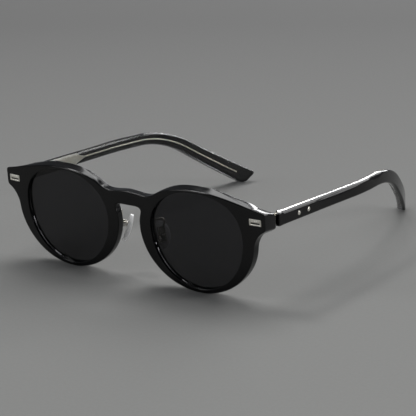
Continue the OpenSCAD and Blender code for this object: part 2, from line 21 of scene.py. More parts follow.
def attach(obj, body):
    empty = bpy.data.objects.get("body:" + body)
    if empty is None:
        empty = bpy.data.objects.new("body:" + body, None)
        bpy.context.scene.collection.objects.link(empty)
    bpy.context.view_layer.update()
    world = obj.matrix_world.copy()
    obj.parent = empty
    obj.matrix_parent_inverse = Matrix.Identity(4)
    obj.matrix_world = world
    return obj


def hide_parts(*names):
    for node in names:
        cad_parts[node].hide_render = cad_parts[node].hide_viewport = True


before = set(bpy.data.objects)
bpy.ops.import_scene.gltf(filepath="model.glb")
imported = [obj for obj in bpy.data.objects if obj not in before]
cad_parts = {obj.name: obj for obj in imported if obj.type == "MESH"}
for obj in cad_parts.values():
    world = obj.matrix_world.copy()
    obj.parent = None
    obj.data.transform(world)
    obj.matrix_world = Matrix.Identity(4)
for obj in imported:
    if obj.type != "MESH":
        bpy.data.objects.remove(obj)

log = logging.getLogger("sunglasses")

MM = 0.001
Loop = np.ndarray
Point = tuple[float, float]
Colour = tuple[float, float, float]
Stretch = tuple[float, float, float]
Rows = list[tuple[np.ndarray, np.ndarray]]
Depth = Callable[[np.ndarray, np.ndarray], np.ndarray]
Place = Callable[[np.ndarray], np.ndarray]


class Side(Enum):
    """The wearer's left is +X, the right is -X."""

    LEFT = 1
    RIGHT = -1

    @property
    def word(self) -> str:
        """The side's name at the start of its pieces' names."""
        return self.name.lower()


# Plane curves


def bezier(points: Sequence[Point], count: int) -> Loop:
    """Samples a cubic curve.

    Args:
        points: its four control points.
        count: how many steps it is cut into.

    Returns:
        The count + 1 points on it.
    """
    p = np.array(points, float)
    t = np.linspace(0, 1, count + 1)[:, None]
    u = 1 - t
    return u**3 * p[0] + 3 * u * u * t * p[1] + 3 * u * t * t * p[2] + t**3 * p[3]


def arc(centre: Sequence[float], radius: float, start: float, end: float, count: int) -> Loop:
    """Samples an arc of a circle, its angles in degrees.

    Args:
        centre: middle of the circle.
        radius: its radius.
        start: first angle.
        end: last angle.
        count: how many steps it is cut into.

    Returns:
        The count + 1 points on it.
    """
    a = np.radians(np.linspace(start, end, count + 1))
    return np.array(centre, float) + radius * np.stack([np.cos(a), np.sin(a)], 1)


def oval(nose: float, side: float, up: float, down: float, corner: float) -> Loop:
    """The outline of a lens or rim: four elliptic quarters, the upper outer one fuller.

    Args:
        nose: half width towards the nose.
        side: half width towards the temple.
        up: height above the widest line.
        down: depth below the widest line.
        corner: fullness of the upper outer quarter, 2 being an ellipse.

    Returns:
        The closed outline about its own middle, of 240 points.
    """
    count, ellipse = 240, 2.0
    a = np.radians(np.arange(count) * 360.0 / count)
    c, s = np.cos(a), np.sin(a)
    n = np.where((c > 0) & (s > 0), corner, ellipse)
    x = np.sign(c) * np.where(c > 0, side, nose) * np.abs(c) ** (2 / n)
    y = np.sign(s) * np.where(s > 0, up, down) * np.abs(s) ** (2 / n)
    return np.stack([x, y], 1)


def fillet(corner: Loop, before: Loop, after: Loop, radius: float, count: int) -> Loop:
    """Rounds a corner.

    Args:
        corner: the corner's point.
        before: the point that comes before it.
        after: the point that comes after it.
        radius: radius of the round.
        count: how many steps it is cut into.

    Returns:
        The count + 1 points of the round.
    """
    a, b = (p - corner for p in (before, after))
    a, b = a / np.linalg.norm(a), b / np.linalg.norm(b)
    half = math.acos(float(np.clip(a @ b, -1, 1))) / 2
    middle = corner + (a + b) / np.linalg.norm(a + b) * radius / math.sin(half)
    steps = np.linspace(0, 1, count + 1)
    ways = [(corner + (a + (b - a) * t) * radius / math.tan(half)) - middle for t in steps]
    return np.array([middle + w / np.linalg.norm(w) * radius for w in ways])


def resample(loop: Loop, step: float) -> Loop:
    """Spaces a closed outline's points evenly.

    Args:
        loop: the outline.
        step: about how far apart the points come.

    Returns:
        The new points, 8 at the least.
    """
    closed = np.vstack([loop, loop[:1]])
    run = np.concatenate([[0], np.cumsum(np.linalg.norm(np.diff(closed, axis=0), axis=1))])
    marks = np.linspace(0, run[-1], max(8, int(round(run[-1] / step))), endpoint=False)
    return np.stack([np.interp(marks, run, closed[:, i]) for i in (0, 1)], 1)


def soften(values: np.ndarray, passes: int) -> np.ndarray:
    """Averages each value on a closed loop with its two neighbours.

    Args:
        values: one value or point per place on the loop.
        passes: how many times they are averaged.

    Returns:
        The softened values.
    """
    for _ in range(passes):
        values = 0.5 * values + 0.25 * (np.roll(values, 1, 0) + np.roll(values, -1, 0))
    return values


def turned_ccw(loop: Loop) -> Loop:
    """Makes an outline run counterclockwise.

    Args:
        loop: the outline.

    Returns:
        The same outline, turned round where it ran clockwise.
    """
    x, y = loop.T
    area = np.sum(x * np.roll(y, -1) - np.roll(x, -1) * y)
    return loop if area > 0 else loop[::-1].copy()


def outward(loop: Loop) -> np.ndarray:
    """Finds the way out of an outline at each of its points.

    Args:
        loop: the outline, counterclockwise.

    Returns:
        A unit normal for each point.
    """
    run = np.roll(loop, -1, 0) - np.roll(loop, 1, 0)
    run /= np.maximum(np.linalg.norm(run, axis=1, keepdims=True), 1e-9)
    return np.stack([run[:, 1], -run[:, 0]], 1)


def bend_radius(loop: Loop) -> np.ndarray:
    """Measures how tightly an outline bends.

    Args:
        loop: the outline, counterclockwise.

    Returns:
        The radius at each point; a straight or hollow stretch counts as 1000 mm.
    """
    straight, least = 1000.0, 1e-4
    back, ahead = loop - np.roll(loop, 1, 0), np.roll(loop, -1, 0) - loop
    turn = back[:, 0] * ahead[:, 1] - back[:, 1] * ahead[:, 0]
    length = np.linalg.norm(back, axis=1) * np.linalg.norm(ahead, axis=1)
    sine = turn / np.maximum(length, 1e-9)
    run = 0.5 * (np.linalg.norm(back, axis=1) + np.linalg.norm(ahead, axis=1))
    return np.where(sine > least, run / np.maximum(sine, least), straight)


def bounded(radius: np.ndarray | float, loop: Loop) -> np.ndarray:
    """An edge's radius at each point of an outline, kept small enough for its corners.

    Args:
        radius: the wanted radius.
        loop: the outline.

    Returns:
        The radius at each point, changing gently.
    """
    share, widest, spread, passes = 0.6, 12.0, 5, 4
    limit = share * np.minimum(bend_radius(loop), widest)
    for _ in range(spread):
        limit = np.minimum(limit, np.minimum(np.roll(limit, 1), np.roll(limit, -1)))
    return soften(np.minimum(radius, limit), passes)


def inside(points: np.ndarray, loop: Loop) -> np.ndarray:
    """Tells which points lie inside a closed outline.

    Args:
        points: the points to test.
        loop: the outline.

    Returns:
        True or False for each point.
    """
    x, y = points.T
    hit = np.zeros(len(points), bool)
    for (x0, y0), (x1, y1) in zip(loop, np.roll(loop, -1, 0)):
        if y0 != y1:
            crosses = (y0 > y) != (y1 > y)
            hit ^= crosses & (x < (x1 - x0) * (y - y0) / (y1 - y0) + x0)
    return hit


def smooth_step(value: np.ndarray, low: float, high: float) -> np.ndarray:
    """0 below low, 1 above high, and a smooth rise between them."""
    t = np.clip((value - low) / (high - low), 0, 1)
    return t * t * (3 - 2 * t)


def level(depth: float) -> Depth:
    """The same depth everywhere on a face."""
    return lambda x, w: np.full_like(x, depth)


def joined_outline(shapes: Sequence[Loop]) -> Loop:
    """The outer outline of several overlapping shapes.

    Args:
        shapes: closed outlines that overlap their neighbours.

    Returns:
        The longest closed line around them all, counterclockwise.
    """
    points, faces = [], []
    for shape in shapes:
        faces.append(list(range(len(points), len(points) + len(shape))))
        points += [Vector((float(x), float(y))) for x, y in turned_ccw(shape)]
    flat, _, tris, *_ = delaunay_2d_cdt(points, [], faces, 1, 1e-6)
    count: dict[tuple[int, int], int] = {}
    for tri in tris:
        for a, b in zip(tri, tri[1:] + tri[:1]):
            count[(a, b)] = count.get((a, b), 0) + 1
    # An edge that only one triangle uses lies on the outside.
    ahead = {a: b for (a, b) in count if (b, a) not in count}
    best: list[int] = []
    left = set(ahead)
    while left:
        walk = [left.pop()]
        while ahead.get(walk[-1]) in left:
            walk.append(ahead[walk[-1]])
            left.discard(walk[-1])
        best = max(best, walk, key=len)
    return turned_ccw(np.array([flat[i][:] for i in best]))


# Mesh building


@dataclass
class Mesher:
    """Collects points and faces in millimetres and writes them as one closed object."""

    points: list[np.ndarray] = field(default_factory=list)
    faces: list[tuple[int, ...]] = field(default_factory=list)
    total: int = 0

    def add(self, points: np.ndarray, faces: Sequence[Sequence[int]]) -> None:
        """Adds a shape.

        Args:
            points: its points as (x, depth, w).
            faces: its faces, counting from its own first point.
        """
        self.faces += [tuple(int(i) + self.total for i in f) for f in faces]
        self.points.append(np.asarray(points, float))
        self.total += len(points)

    def write(
        self, name: str, place: Place, side: Side = Side.LEFT, sharp: float = 38.0
    ) -> bpy.types.Object:
        """Makes the object, its place in its mesh.

        Args:
            name: name of the piece.
            place: turns (x, v, w) in millimetres into the row frame, in millimetres.
            side: RIGHT mirrors the shape across x = 0.
            sharp: angle in degrees over which an edge is shaded sharp.

        Returns:
            The object, linked and shaded smooth.
        """
        co = place(np.vstack(self.points))
        co[:, 0] *= side.value
        mesh = bpy.data.meshes.new(name)
        mesh.from_pydata((co * MM).tolist(), [], self.faces)
        work = bmesh.new()
        work.from_mesh(mesh)
        bmesh.ops.remove_doubles(work, verts=work.verts, dist=2e-6)
        bmesh.ops.dissolve_degenerate(work, edges=work.edges, dist=1e-7)
        bmesh.ops.recalc_face_normals(work, faces=work.faces)
        work.to_mesh(mesh)
        work.free()
        return link_piece(name, mesh, sharp)


def link_object(name: str, data: bpy.types.ID) -> bpy.types.Object:
    """Puts a mesh, lamp or camera into the scene as an object of that name.

    Args:
        name: name of the object.
        data: its mesh, lamp or camera.

    Returns:
        The object.
    """
    obj = bpy.data.objects.new(name, data)
    bpy.context.scene.collection.objects.link(obj)
    return obj


def link_piece(name: str, mesh: bpy.types.Mesh, sharp: float = 38.0) -> bpy.types.Object:
    """Puts a mesh into the scene as a piece, shaded smooth.

    Args:
        name: name of the piece.
        mesh: its mesh.
        sharp: angle in degrees over which an edge is shaded sharp.

    Returns:
        The object.
    """
    mesh.name = name
    mesh.polygons.foreach_set("use_smooth", [True] * len(mesh.polygons))
    mesh.set_sharp_from_angle(angle=math.radians(sharp))
    return link_object(name, mesh)


@dataclass
class Plate:
    """A shape cut from sheet: a face and a back, with a shaped wall round its outline and holes.

    Attributes:
        outline: outer outline, counterclockwise.
        rows: the outer wall from face to back, each row an inset and a depth per point.
        back: depth of the back at a point.
        face: depth of the face at a point.
        holes: outlines of the holes, counterclockwise.
        hole_rows: the wall of each hole; its insets go away from the hole's middle.
        spacing: distance of the points that fill face and back.
        extra: further points to fill the back with.
    """

    outline: Loop
    rows: Rows
    back: Depth
    face: Depth = level(0.0)
    holes: Sequence[Loop] = ()
    hole_rows: Sequence[Rows] = ()
    spacing: float = 1.2
    extra: Loop | None = None

    def meshed(self) -> Mesher:
        """Works the plate out.

        Returns:
            A mesher that holds it as (x, depth, w).
        """
        points: list[np.ndarray] = []
        faces: list[tuple[int, ...]] = []
        ends: list[list[tuple[int, Loop]]] = [[], []]
        start = 0
        # The walls, ring by ring; their first and last rings bound the face and the back.
        walls = [(self.outline, self.rows, -1.0)]
        walls += [(h, r, 1.0) for h, r in zip(self.holes, self.hole_rows)]
        for loop, rows, sign in walls:
            normal, n = outward(loop), len(loop)
            for k, (inset, depth) in enumerate(rows):
                flat = loop + sign * normal * np.reshape(np.broadcast_to(inset, n), (n, 1))
                deep = np.broadcast_to(depth, n)
                points.append(np.stack([flat[:, 0], deep, flat[:, 1]], 1))
                if k == 0:
                    ends[0].append((start, flat))
                if k == len(rows) - 1:
                    ends[1].append((start + k * n, flat))
                if k:
                    a, b = start + (k - 1) * n, start + k * n
                    for i in range(n):
                        j = (i + 1) % n
                        quad = (a + i, a + j, b + j, b + i)
                        faces.append(quad if sign < 0 else quad[::-1])
            start += n * len(rows)
        # The face, then the back.
        for which, (loops, depth) in enumerate(zip(ends, (self.face, self.back))):
            inner, tris, order = self._fill(loops, self.extra if which else None)
            points.append(np.stack([inner[:, 0], depth(inner[:, 0], inner[:, 1]), inner[:, 1]], 1))
            index = order + [start + i for i in range(len(inner))]
            for tri in tris:
                ids = tuple(index[i] for i in tri)
                faces.append(ids if which else ids[::-1])
            start += len(inner)
        mesher = Mesher()
        mesher.add(np.vstack(points), faces)
        return mesher

    def _fill(
        self, loops: list[tuple[int, Loop]], extra: Loop | None
    ) -> tuple[Loop, list[tuple[int, ...]], list[int]]:
        """Fills the space between the outline and the holes with triangles.

        Args:
            loops: first point's number and the points of each outline, the outer one first.
            extra: further points to use.

        Returns:
            The added inner points, the triangles, and the numbers of the outlines' points.
        """
        outlines = [loop for _, loop in loops]
        rim = np.vstack(outlines)
        order = [start + i for start, loop in loops for i in range(len(loop))]
        edges, first = [], 0
        for loop in outlines:
            edges += [(first + i, first + (i + 1) % len(loop)) for i in range(len(loop))]
            first += len(loop)
        grid = self._grid(rim, extra)
        grid = grid[self._between(grid, outlines)]
        # Points that crowd the outlines are left out.
        near = np.full(len(grid), 1e9)
        batch = 64
        for i in range(0, len(rim), batch):
            away = np.linalg.norm(grid[:, None] - rim[None, i : i + batch], axis=2).min(1)
            near = np.minimum(near, away)
        closest = 0.35 * self.spacing
        grid = grid[near > closest]
        flat = [Vector((float(x), float(y))) for x, y in np.vstack([rim, grid])]
        out, _, tris, origins, *_ = delaunay_2d_cdt(flat, edges, [], 1, 1e-7)
        if not all(origins):
            bad = [tuple(round(c, 2) for c in v) for v, o in zip(out, origins) if not o]
            raise ValueError(f"the outlines cross at {bad[:6]}")
        source = [o[0] for o in origins]
        mids = np.array([[sum(out[i][k] for i in t) / 3 for k in (0, 1)] for t in tris])
        keep = self._between(mids, outlines)
        return grid, [tuple(source[i] for i in t) for t, k in zip(tris, keep) if k], order

    def _grid(self, rim: np.ndarray, extra: Loop | None) -> np.ndarray:
        """Spreads points over the plate's box in rows of equal triangles.

        Args:
            rim: all points of the outlines.
            extra: further points, put before the others.

        Returns:
            The points.
        """
        low, high = rim.min(0), rim.max(0)
        row_step = self.spacing * 0.866
        points = [
            (x + (r % 2) * self.spacing / 2, y)
            for r, y in enumerate(np.arange(low[1], high[1], row_step))
            for x in np.arange(low[0], high[0], self.spacing)
        ]
        return np.array(points) if extra is None else np.vstack([extra, points])

    @staticmethod
    def _between(points: np.ndarray, outlines: Sequence[Loop]) -> np.ndarray:
        """Tells which points lie in the first outline and in none of the others.

        Args:
            points: the points to test.
            outlines: the outer outline, then the holes.

        Returns:
            True or False for each point.
        """
        keep = inside(points, outlines[0])
        for hole in outlines[1:]:
            keep &= ~inside(points, hole)
        return keep


def rounded(radius: np.ndarray | float, depth: float, rising: bool, count: int) -> Rows:
    """Rows of a rounded edge between a face and a wall.

    Args:
        radius: radius of the rounding.
        depth: depth of the face.
        rising: True from the face to the wall, False from the wall to the back.
        count: how many steps it is cut into.

    Returns:
        Rows of (inset, depth).
    """
    rows = []
    for k in range(count + 1):
        a = math.radians(90 * k / count)
        if rising:
            rows.append((radius * (1 - math.sin(a)), depth + radius * (1 - math.cos(a))))
        else:
            rows.append((radius * (1 - math.cos(a)), depth - radius * (1 - math.sin(a))))
    return rows


def lathe(profile: Sequence[Point], count: int) -> tuple[np.ndarray, list[tuple[int, ...]]]:
    """Turns a profile of (radius, height) round the height's axis.

    Args:
        profile: from the lower middle to the upper middle, its ends on the axis.
        count: number of sides.

    Returns:
        Points (x, y, height) and faces.
    """
    rings = [p for p in profile if p[0] > 1e-6]
    a = np.arange(count) * 2 * math.pi / count
    points = [np.stack([r * np.cos(a), r * np.sin(a), np.full(count, h)], 1) for r, h in rings]
    points.append(np.array([[0, 0, profile[0][1]], [0, 0, profile[-1][1]]], float))
    n, faces = len(rings), []
    for k in range(n - 1):
        low, high = k * count, (k + 1) * count
        for i in range(count):
            j = (i + 1) % count
            faces.append((low + i, low + j, high + j, high + i))
    last, middle = (n - 1) * count, n * count
    for i in range(count):
        j = (i + 1) % count
        faces.append((middle, j, i))
        faces.append((middle + 1, last + i, last + j))
    return np.vstack(points), faces


# Geometry nodes


@dataclass
class NodeShape:
    """A geometry node tree with named inputs, run on a mesh and made a plain mesh again."""

    tree: bpy.types.NodeTree
    inputs: dict[str, str]

    @classmethod
    def start(cls, name: str, sizes: list[tuple[str, str]]) -> "NodeShape":
        """Begins a tree.

        Args:
            name: name of the tree.
            sizes: name and socket type of each input after the geometry.

        Returns:
            The shape, its tree holding only its input and output nodes.
        """
        tree = bpy.data.node_groups.new(name, "GeometryNodeTree")
        sockets = tree.interface
        sockets.new_socket(name="Geometry", in_out="INPUT", socket_type="NodeSocketGeometry")
        found = {}
        for label, kind in sizes + [("Material", "NodeSocketMaterial")]:
            socket = sockets.new_socket(name=label, in_out="INPUT", socket_type=kind)
            found[label] = socket.identifier
        sockets.new_socket(name="Geometry", in_out="OUTPUT", socket_type="NodeSocketGeometry")
        tree.nodes.new("NodeGroupInput")
        tree.nodes.new("NodeGroupOutput")
        return cls(tree, found)

    def node(self, kind: str, settings: dict | None = None, **links: object) -> bpy.types.Node:
        """Adds a node.

        Args:
            kind: its Blender type.
            settings: attributes to set on it.
            links: input socket name (_ for a space) to a value or to the socket that feeds it.

        Returns:
            The node.
        """
        made = self.tree.nodes.new(kind)
        for key, value in (settings or {}).items():
            setattr(made, key, value)
        for key, value in links.items():
            socket = made.inputs[key.replace("_", " ")]
            if isinstance(value, bpy.types.NodeSocket):
                self.tree.links.new(value, socket)
            else:
                socket.default_value = value
        return made

    def given(self, label: str) -> bpy.types.NodeSocket:
        """The group input's socket of that name."""
        return self.tree.nodes["Group Input"].outputs[label]

    def close(self, geometry: bpy.types.NodeSocket) -> "NodeShape":
        """Ends the tree in Realize Instances and Set Material.

        Args:
            geometry: the socket of the finished shape.

        Returns:
            The shape itself.
        """
        real = self.node("GeometryNodeRealizeInstances", Geometry=geometry).outputs[0]
        done = self.node("GeometryNodeSetMaterial", Geometry=real, Material=self.given("Material"))
        self.tree.links.new(done.outputs[0], self.tree.nodes["Group Output"].inputs[0])
        return self

    def run(
        self, obj: bpy.types.Object, material: bpy.types.Material, **sizes: object
    ) -> bpy.types.Object:
        """Runs the tree on an object and keeps the result as a plain mesh.

        Args:
            obj: the object whose mesh goes in; it is replaced.
            material: what the result is made of.
            sizes: the tree's inputs by name.

        Returns:
            A new object of the same name.
        """
        name = obj.name
        modifier = obj.modifiers.new("shape", "NODES")
        modifier.node_group = self.tree
        modifier[self.inputs["Material"]] = material
        for label, value in sizes.items():
            modifier[self.inputs[label.replace("_", " ")]] = value
        bpy.context.view_layer.update()
        seen = obj.evaluated_get(bpy.context.evaluated_depsgraph_get())
        mesh = bpy.data.meshes.new_from_object(seen)
        bpy.data.objects.remove(obj)
        return link_piece(name, mesh)


def row_shape() -> NodeShape:
    """Builds the tree that repeats a piece along a straight row.

    Returns:
        The tree, with the inputs Count and Step.
    """
    sizes = [("Count", "NodeSocketInt"), ("Step", "NodeSocketVector")]
    shape = NodeShape.start("row_of_pieces", sizes)
    count, step, piece = (shape.given(label) for label in ("Count", "Step", "Geometry"))
    line = shape.node("GeometryNodeMeshLine", Count=count, Offset=step).outputs[0]
    copies = shape.node("GeometryNodeInstanceOnPoints", Points=line, Instance=piece)
    return shape.close(copies.outputs[0])


def flat_wire_shape() -> NodeShape:
    """Builds the tree that sweeps a flat wire with rounded corners along the input's line.

    Returns:
        The tree, with the inputs Thickness, Height and Corner.
    """
    labels = ("Thickness", "Height", "Corner")
    shape = NodeShape.start("flat_wire", [(label, "NodeSocketFloat") for label in labels])
    thickness, height, corner = (shape.given(label) for label in labels)
    line = shape.node("GeometryNodeMeshToCurve", Mesh=shape.given("Geometry")).outputs[0]
    path = shape.node("GeometryNodeSetCurveNormal", {"mode": "Z_UP"}, Curve=line).outputs[0]
    section = shape.node("GeometryNodeCurvePrimitiveQuadrilateral", Width=thickness, Height=height)
    soft = shape.node(
        "GeometryNodeFilletCurve", {"mode": "POLY"}, Curve=section.outputs[0], Count=4, Radius=corner
    )
    band = shape.node(
        "GeometryNodeCurveToMesh", Curve=path, Profile_Curve=soft.outputs[0], Fill_Caps=True
    )
    return shape.close(band.outputs[0])


def line_object(name: str, points: np.ndarray) -> bpy.types.Object:
    """Makes an object whose mesh is one open line.

    Args:
        name: name of the object.
        points: the line's points in millimetres.

    Returns:
        The object.
    """
    mesh = bpy.data.meshes.new(name)
    mesh.from_pydata((points * MM).tolist(), [(i, i + 1) for i in range(len(points) - 1)], [])
    return link_object(name, mesh)


# Finishes


class Finish:
    """A material being built: named nodes around one surface shader.

    Most of a noise lies between LOW and HIGH.
    """

    LOW = 0.3
    HIGH = 0.7

    def __init__(self, name: str) -> None:
        """Starts a node tree with a surface shader and Object coordinates.

        Args:
            name: name of the material.
        """
        self.material = bpy.data.materials.new(name)
        self.material.use_nodes = True
        self.tree = self.material.node_tree
        self.tree.nodes.clear()
        self.out = self.node("ShaderNodeOutputMaterial")
        self.skin = self.node("ShaderNodeBsdfPrincipled")
        self.tree.links.new(self.skin.outputs[0], self.out.inputs["Surface"])
        self.where = self.node("ShaderNodeTexCoord").outputs["Object"]

    def node(
        self, kind: str, settings: dict | None = None, links: dict | None = None
    ) -> bpy.types.Node:
        """Adds a node.

        Args:
            kind: its Blender type.
            settings: attributes to set on it.
            links: input socket to a value or to the socket that feeds it.

        Returns:
            The node.
        """
        made = self.tree.nodes.new(kind)
        for key, value in (settings or {}).items():
            setattr(made, key, value)
        for key, value in (links or {}).items():
            self.set(made, key, value)
        return made

    def set(self, node: bpy.types.Node, key: str | int, value: object) -> None:
        """Feeds one input.

        Args:
            node: the node.
            key: the input's name or number.
            value: a value, or the socket that feeds it.
        """
        if isinstance(value, bpy.types.NodeSocket):
            self.tree.links.new(value, node.inputs[key])
        else:
            node.inputs[key].default_value = value

    def arithmetic(self, operation: str, *values: object) -> bpy.types.NodeSocket:
        """Does arithmetic.

        Args:
            operation: the math node's operation.
            values: its inputs, values or sockets.

        Returns:
            The result.
        """
        links = dict(enumerate(values))
        return self.node("ShaderNodeMath", {"operation": operation}, links).outputs[0]

    def surface(self, **values: object) -> None:
        """Sets the surface shader's inputs, _ standing for a space."""
        for key, value in values.items():
            self.set(self.skin, key.replace("_", " "), value)

    def part(self, axis: str, place: bpy.types.NodeSocket | None = None) -> bpy.types.NodeSocket:
        """One of a place's three parts, by default of the place on the object."""
        split = self.node("ShaderNodeSeparateXYZ", links={0: place or self.where})
        return split.outputs[axis]

    def noise(
        self, scale: float, stretch: Sequence[float] = (1, 1, 1), detail: float = 3.0
    ) -> bpy.types.NodeSocket:
        """Noise on Object coordinates.

        Args:
            scale: about how many lumps to the metre.
            stretch: how much finer it is along each axis.
            detail: how many finer layers it has.

        Returns:
            Its value.
        """
        sizes = {"Vector": self.where, "Scale": tuple(stretch)}
        place = self.node("ShaderNodeMapping", links=sizes).outputs[0]
        lumps = {"Vector": place, "Scale": scale, "Detail": detail}
        return self.node("ShaderNodeTexNoise", links=lumps).outputs["Fac"]

    def spread(
        self,
        value: bpy.types.NodeSocket,
        low: float,
        high: float,
        start: float = LOW,
        end: float = HIGH,
    ) -> bpy.types.NodeSocket:
        """Maps a range of a value onto another one.

        Args:
            value: the value, such as a noise.
            low: what start becomes.
            high: what end becomes.
            start: one end of the value's range.
            end: its other end.

        Returns:
            The new value.
        """
        ends = {"From Min": start, "From Max": end, "To Min": low, "To Max": high}
        return self.node("ShaderNodeMapRange", links={"Value": value, **ends}).outputs[0]

    def tint(self, value: bpy.types.NodeSocket, one: Colour, two: Colour) -> bpy.types.NodeSocket:
        """Mixes two colours.

        Args:
            value: the value that mixes them, such as a noise.
            one: the colour where it is low.
            two: the colour where it is high.

        Returns:
            The mixed colour.
        """
        made = self.node("ShaderNodeValToRGB", links={"Fac": value})
        stops = zip(made.color_ramp.elements, (one, two), (self.LOW, self.HIGH))
        for stop, colour, position in stops:
            stop.color = (*colour, 1)
            stop.position = position
        return made.outputs[0]

    def bump(self, value: bpy.types.NodeSocket, height_mm: float, strength: float) -> None:
        """Raises the surface.

        Args:
            value: the relief.
            height_mm: how high the surface stands where the relief is 1.
            strength: how much of it shows.
        """
        relief = {"Height": value, "Distance": height_mm * MM, "Strength": strength}
        self.surface(Normal=self.node("ShaderNodeBump", links=relief).outputs[0])


@dataclass(frozen=True)
class BlackAcetate:
    """Hand-polished black acetate: deep gloss with fine wheel marks along the work.

    Attributes:
        name: name of the material.
        colour, worn: its colour, and the colour of its duller clouds.
        gloss: least and greatest roughness.
        marks, along, marks_mm: number of marks to the metre, their stretch, and their depth.
        cloud: number of clouds to the metre.
        ior, shine: its refraction and how strongly it reflects.
    """

    name: str = "black_acetate_polished"
    colour: Colour = (0.002, 0.002, 0.0024)
    worn: Colour = (0.004, 0.004, 0.0046)
    gloss: Point = (0.09, 0.2)
    marks: float = 420
    along: Stretch = (0.25, 3.0, 3.0)
    marks_mm: float = 0.004
    cloud: float = 160
    ior: float = 1.49
    shine: float = 0.36

    def build(self) -> bpy.types.Material:
        """Builds the node material.

        Returns:
            The material.
        """
        f = Finish(self.name)
        marks = f.noise(self.marks, self.along, 4.0)
        f.surface(
            Base_Color=f.tint(f.noise(self.cloud), self.colour, self.worn),
            Roughness=f.spread(marks, *self.gloss),
            IOR=self.ior,
            Specular_IOR_Level=self.shine,
        )
        f.bump(marks, self.marks_mm, 0.6)
        return f.material


@dataclass(frozen=True)
class ClearAcetate:
    """Clear acetate with a faint cool tint and polished faces.

    Attributes:
        name: name of the material.
        colour, cloudy: its colour, and the share of it that its clouds let through.
        gloss: least and greatest roughness.
        marks, along, marks_mm: number of marks to the metre, their stretch, and their depth.
        cloud: number of clouds to the metre.
        ior: its refraction.
    """

    name: str = "clear_acetate_polished"
    colour: Colour = (0.82, 0.83, 0.84)
    cloudy: float = 0.97
    gloss: Point = (0.03, 0.1)
    marks: float = 420
    along: Stretch = (3.0, 0.25, 3.0)
    marks_mm: float = 0.001
    cloud: float = 120
    ior: float = 1.49

    def build(self) -> bpy.types.Material:
        """Builds the node material.

        Returns:
            The material.
        """
        f = Finish(self.name)
        marks = f.noise(self.marks, self.along, 4.0)
        cloud = f.noise(self.cloud, detail=2.0)
        f.surface(
            Base_Color=f.tint(cloud, self.colour, tuple(self.cloudy * c for c in self.colour)),
            Roughness=f.spread(marks, *self.gloss),
            IOR=self.ior,
            Transmission_Weight=1.0,
        )
        f.bump(marks, self.marks_mm, 0.3)
        return f.material


@dataclass(frozen=True)
class LensTint:
    """Dark neutral grey lens, hard and fully polished, with painted shade that makes it a touch
    darker towards the bottom.

    Attributes:
        name: name of the material.
        upper, lower: its colour at the top and at the bottom; the darker lower colour is painted
            shade.
        top_m, low_m: heights over the ground of the top and the bottom of the painted shade, in
            metres.
        smear, gloss: number of smears to the metre, and least and greatest roughness.
        ior, shine: its refraction and how strongly it reflects.
    """

    name: str = "lens_grey_tint"
    upper: Colour = (0.044, 0.044, 0.047)
    lower: Colour = (0.04, 0.04, 0.042)
    top_m: float = 0.045
    low_m: float = 0.002
    smear: float = 90
    gloss: Point = (0.0, 0.035)
    ior: float = 1.3
    shine: float = 0.3

    def build(self) -> bpy.types.Material:
        """Builds the node material.

        Returns:
            The material.
        """
        f = Finish(self.name)
        # Painted shade: the colour fades from the upper to the lower colour towards the ground.
        fade = f.spread(f.part("Z"), f.LOW, f.HIGH, self.top_m, self.low_m)
        f.surface(
            Base_Color=f.tint(fade, self.upper, self.lower),
            Roughness=f.spread(f.noise(self.smear, detail=4.0), *self.gloss, 0.45, 0.75),
            IOR=self.ior,
            Specular_IOR_Level=self.shine,
            Transmission_Weight=1.0,
        )
        return f.material


@dataclass(frozen=True)
class Metal:
    """Nickel silver or steel with fine brush marks and a little tarnish.

    Attributes:
        name: name of the material.
        colour, dull: its colour, and the colour of its tarnish.
        gloss: least and greatest roughness.
        marks_mm: depth of the brush marks.
        metallic: 1 for bare metal, less under a film of tarnish.
        marks, along: number of marks to the metre and their stretch.
        cloud: number of patches of tarnish to the metre.
    """

    name: str
    colour: Colour
    dull: Colour
    gloss: Point = (0.18, 0.34)
    marks_mm: float = 0.004
    metallic: float = 1.0
    marks: float = 2600
    along: Stretch = (1, 0.15, 1)
    cloud: float = 500

    def build(self) -> bpy.types.Material:
        """Builds the node material.

        Returns:
            The material.
        """
        f = Finish(self.name)
        marks = f.noise(self.marks, self.along)
        f.surface(
            Base_Color=f.tint(f.noise(self.cloud), self.colour, self.dull),
            Metallic=self.metallic,
            Roughness=f.spread(marks, *self.gloss),
        )
        f.bump(marks, self.marks_mm, 0.5)
        return f.material


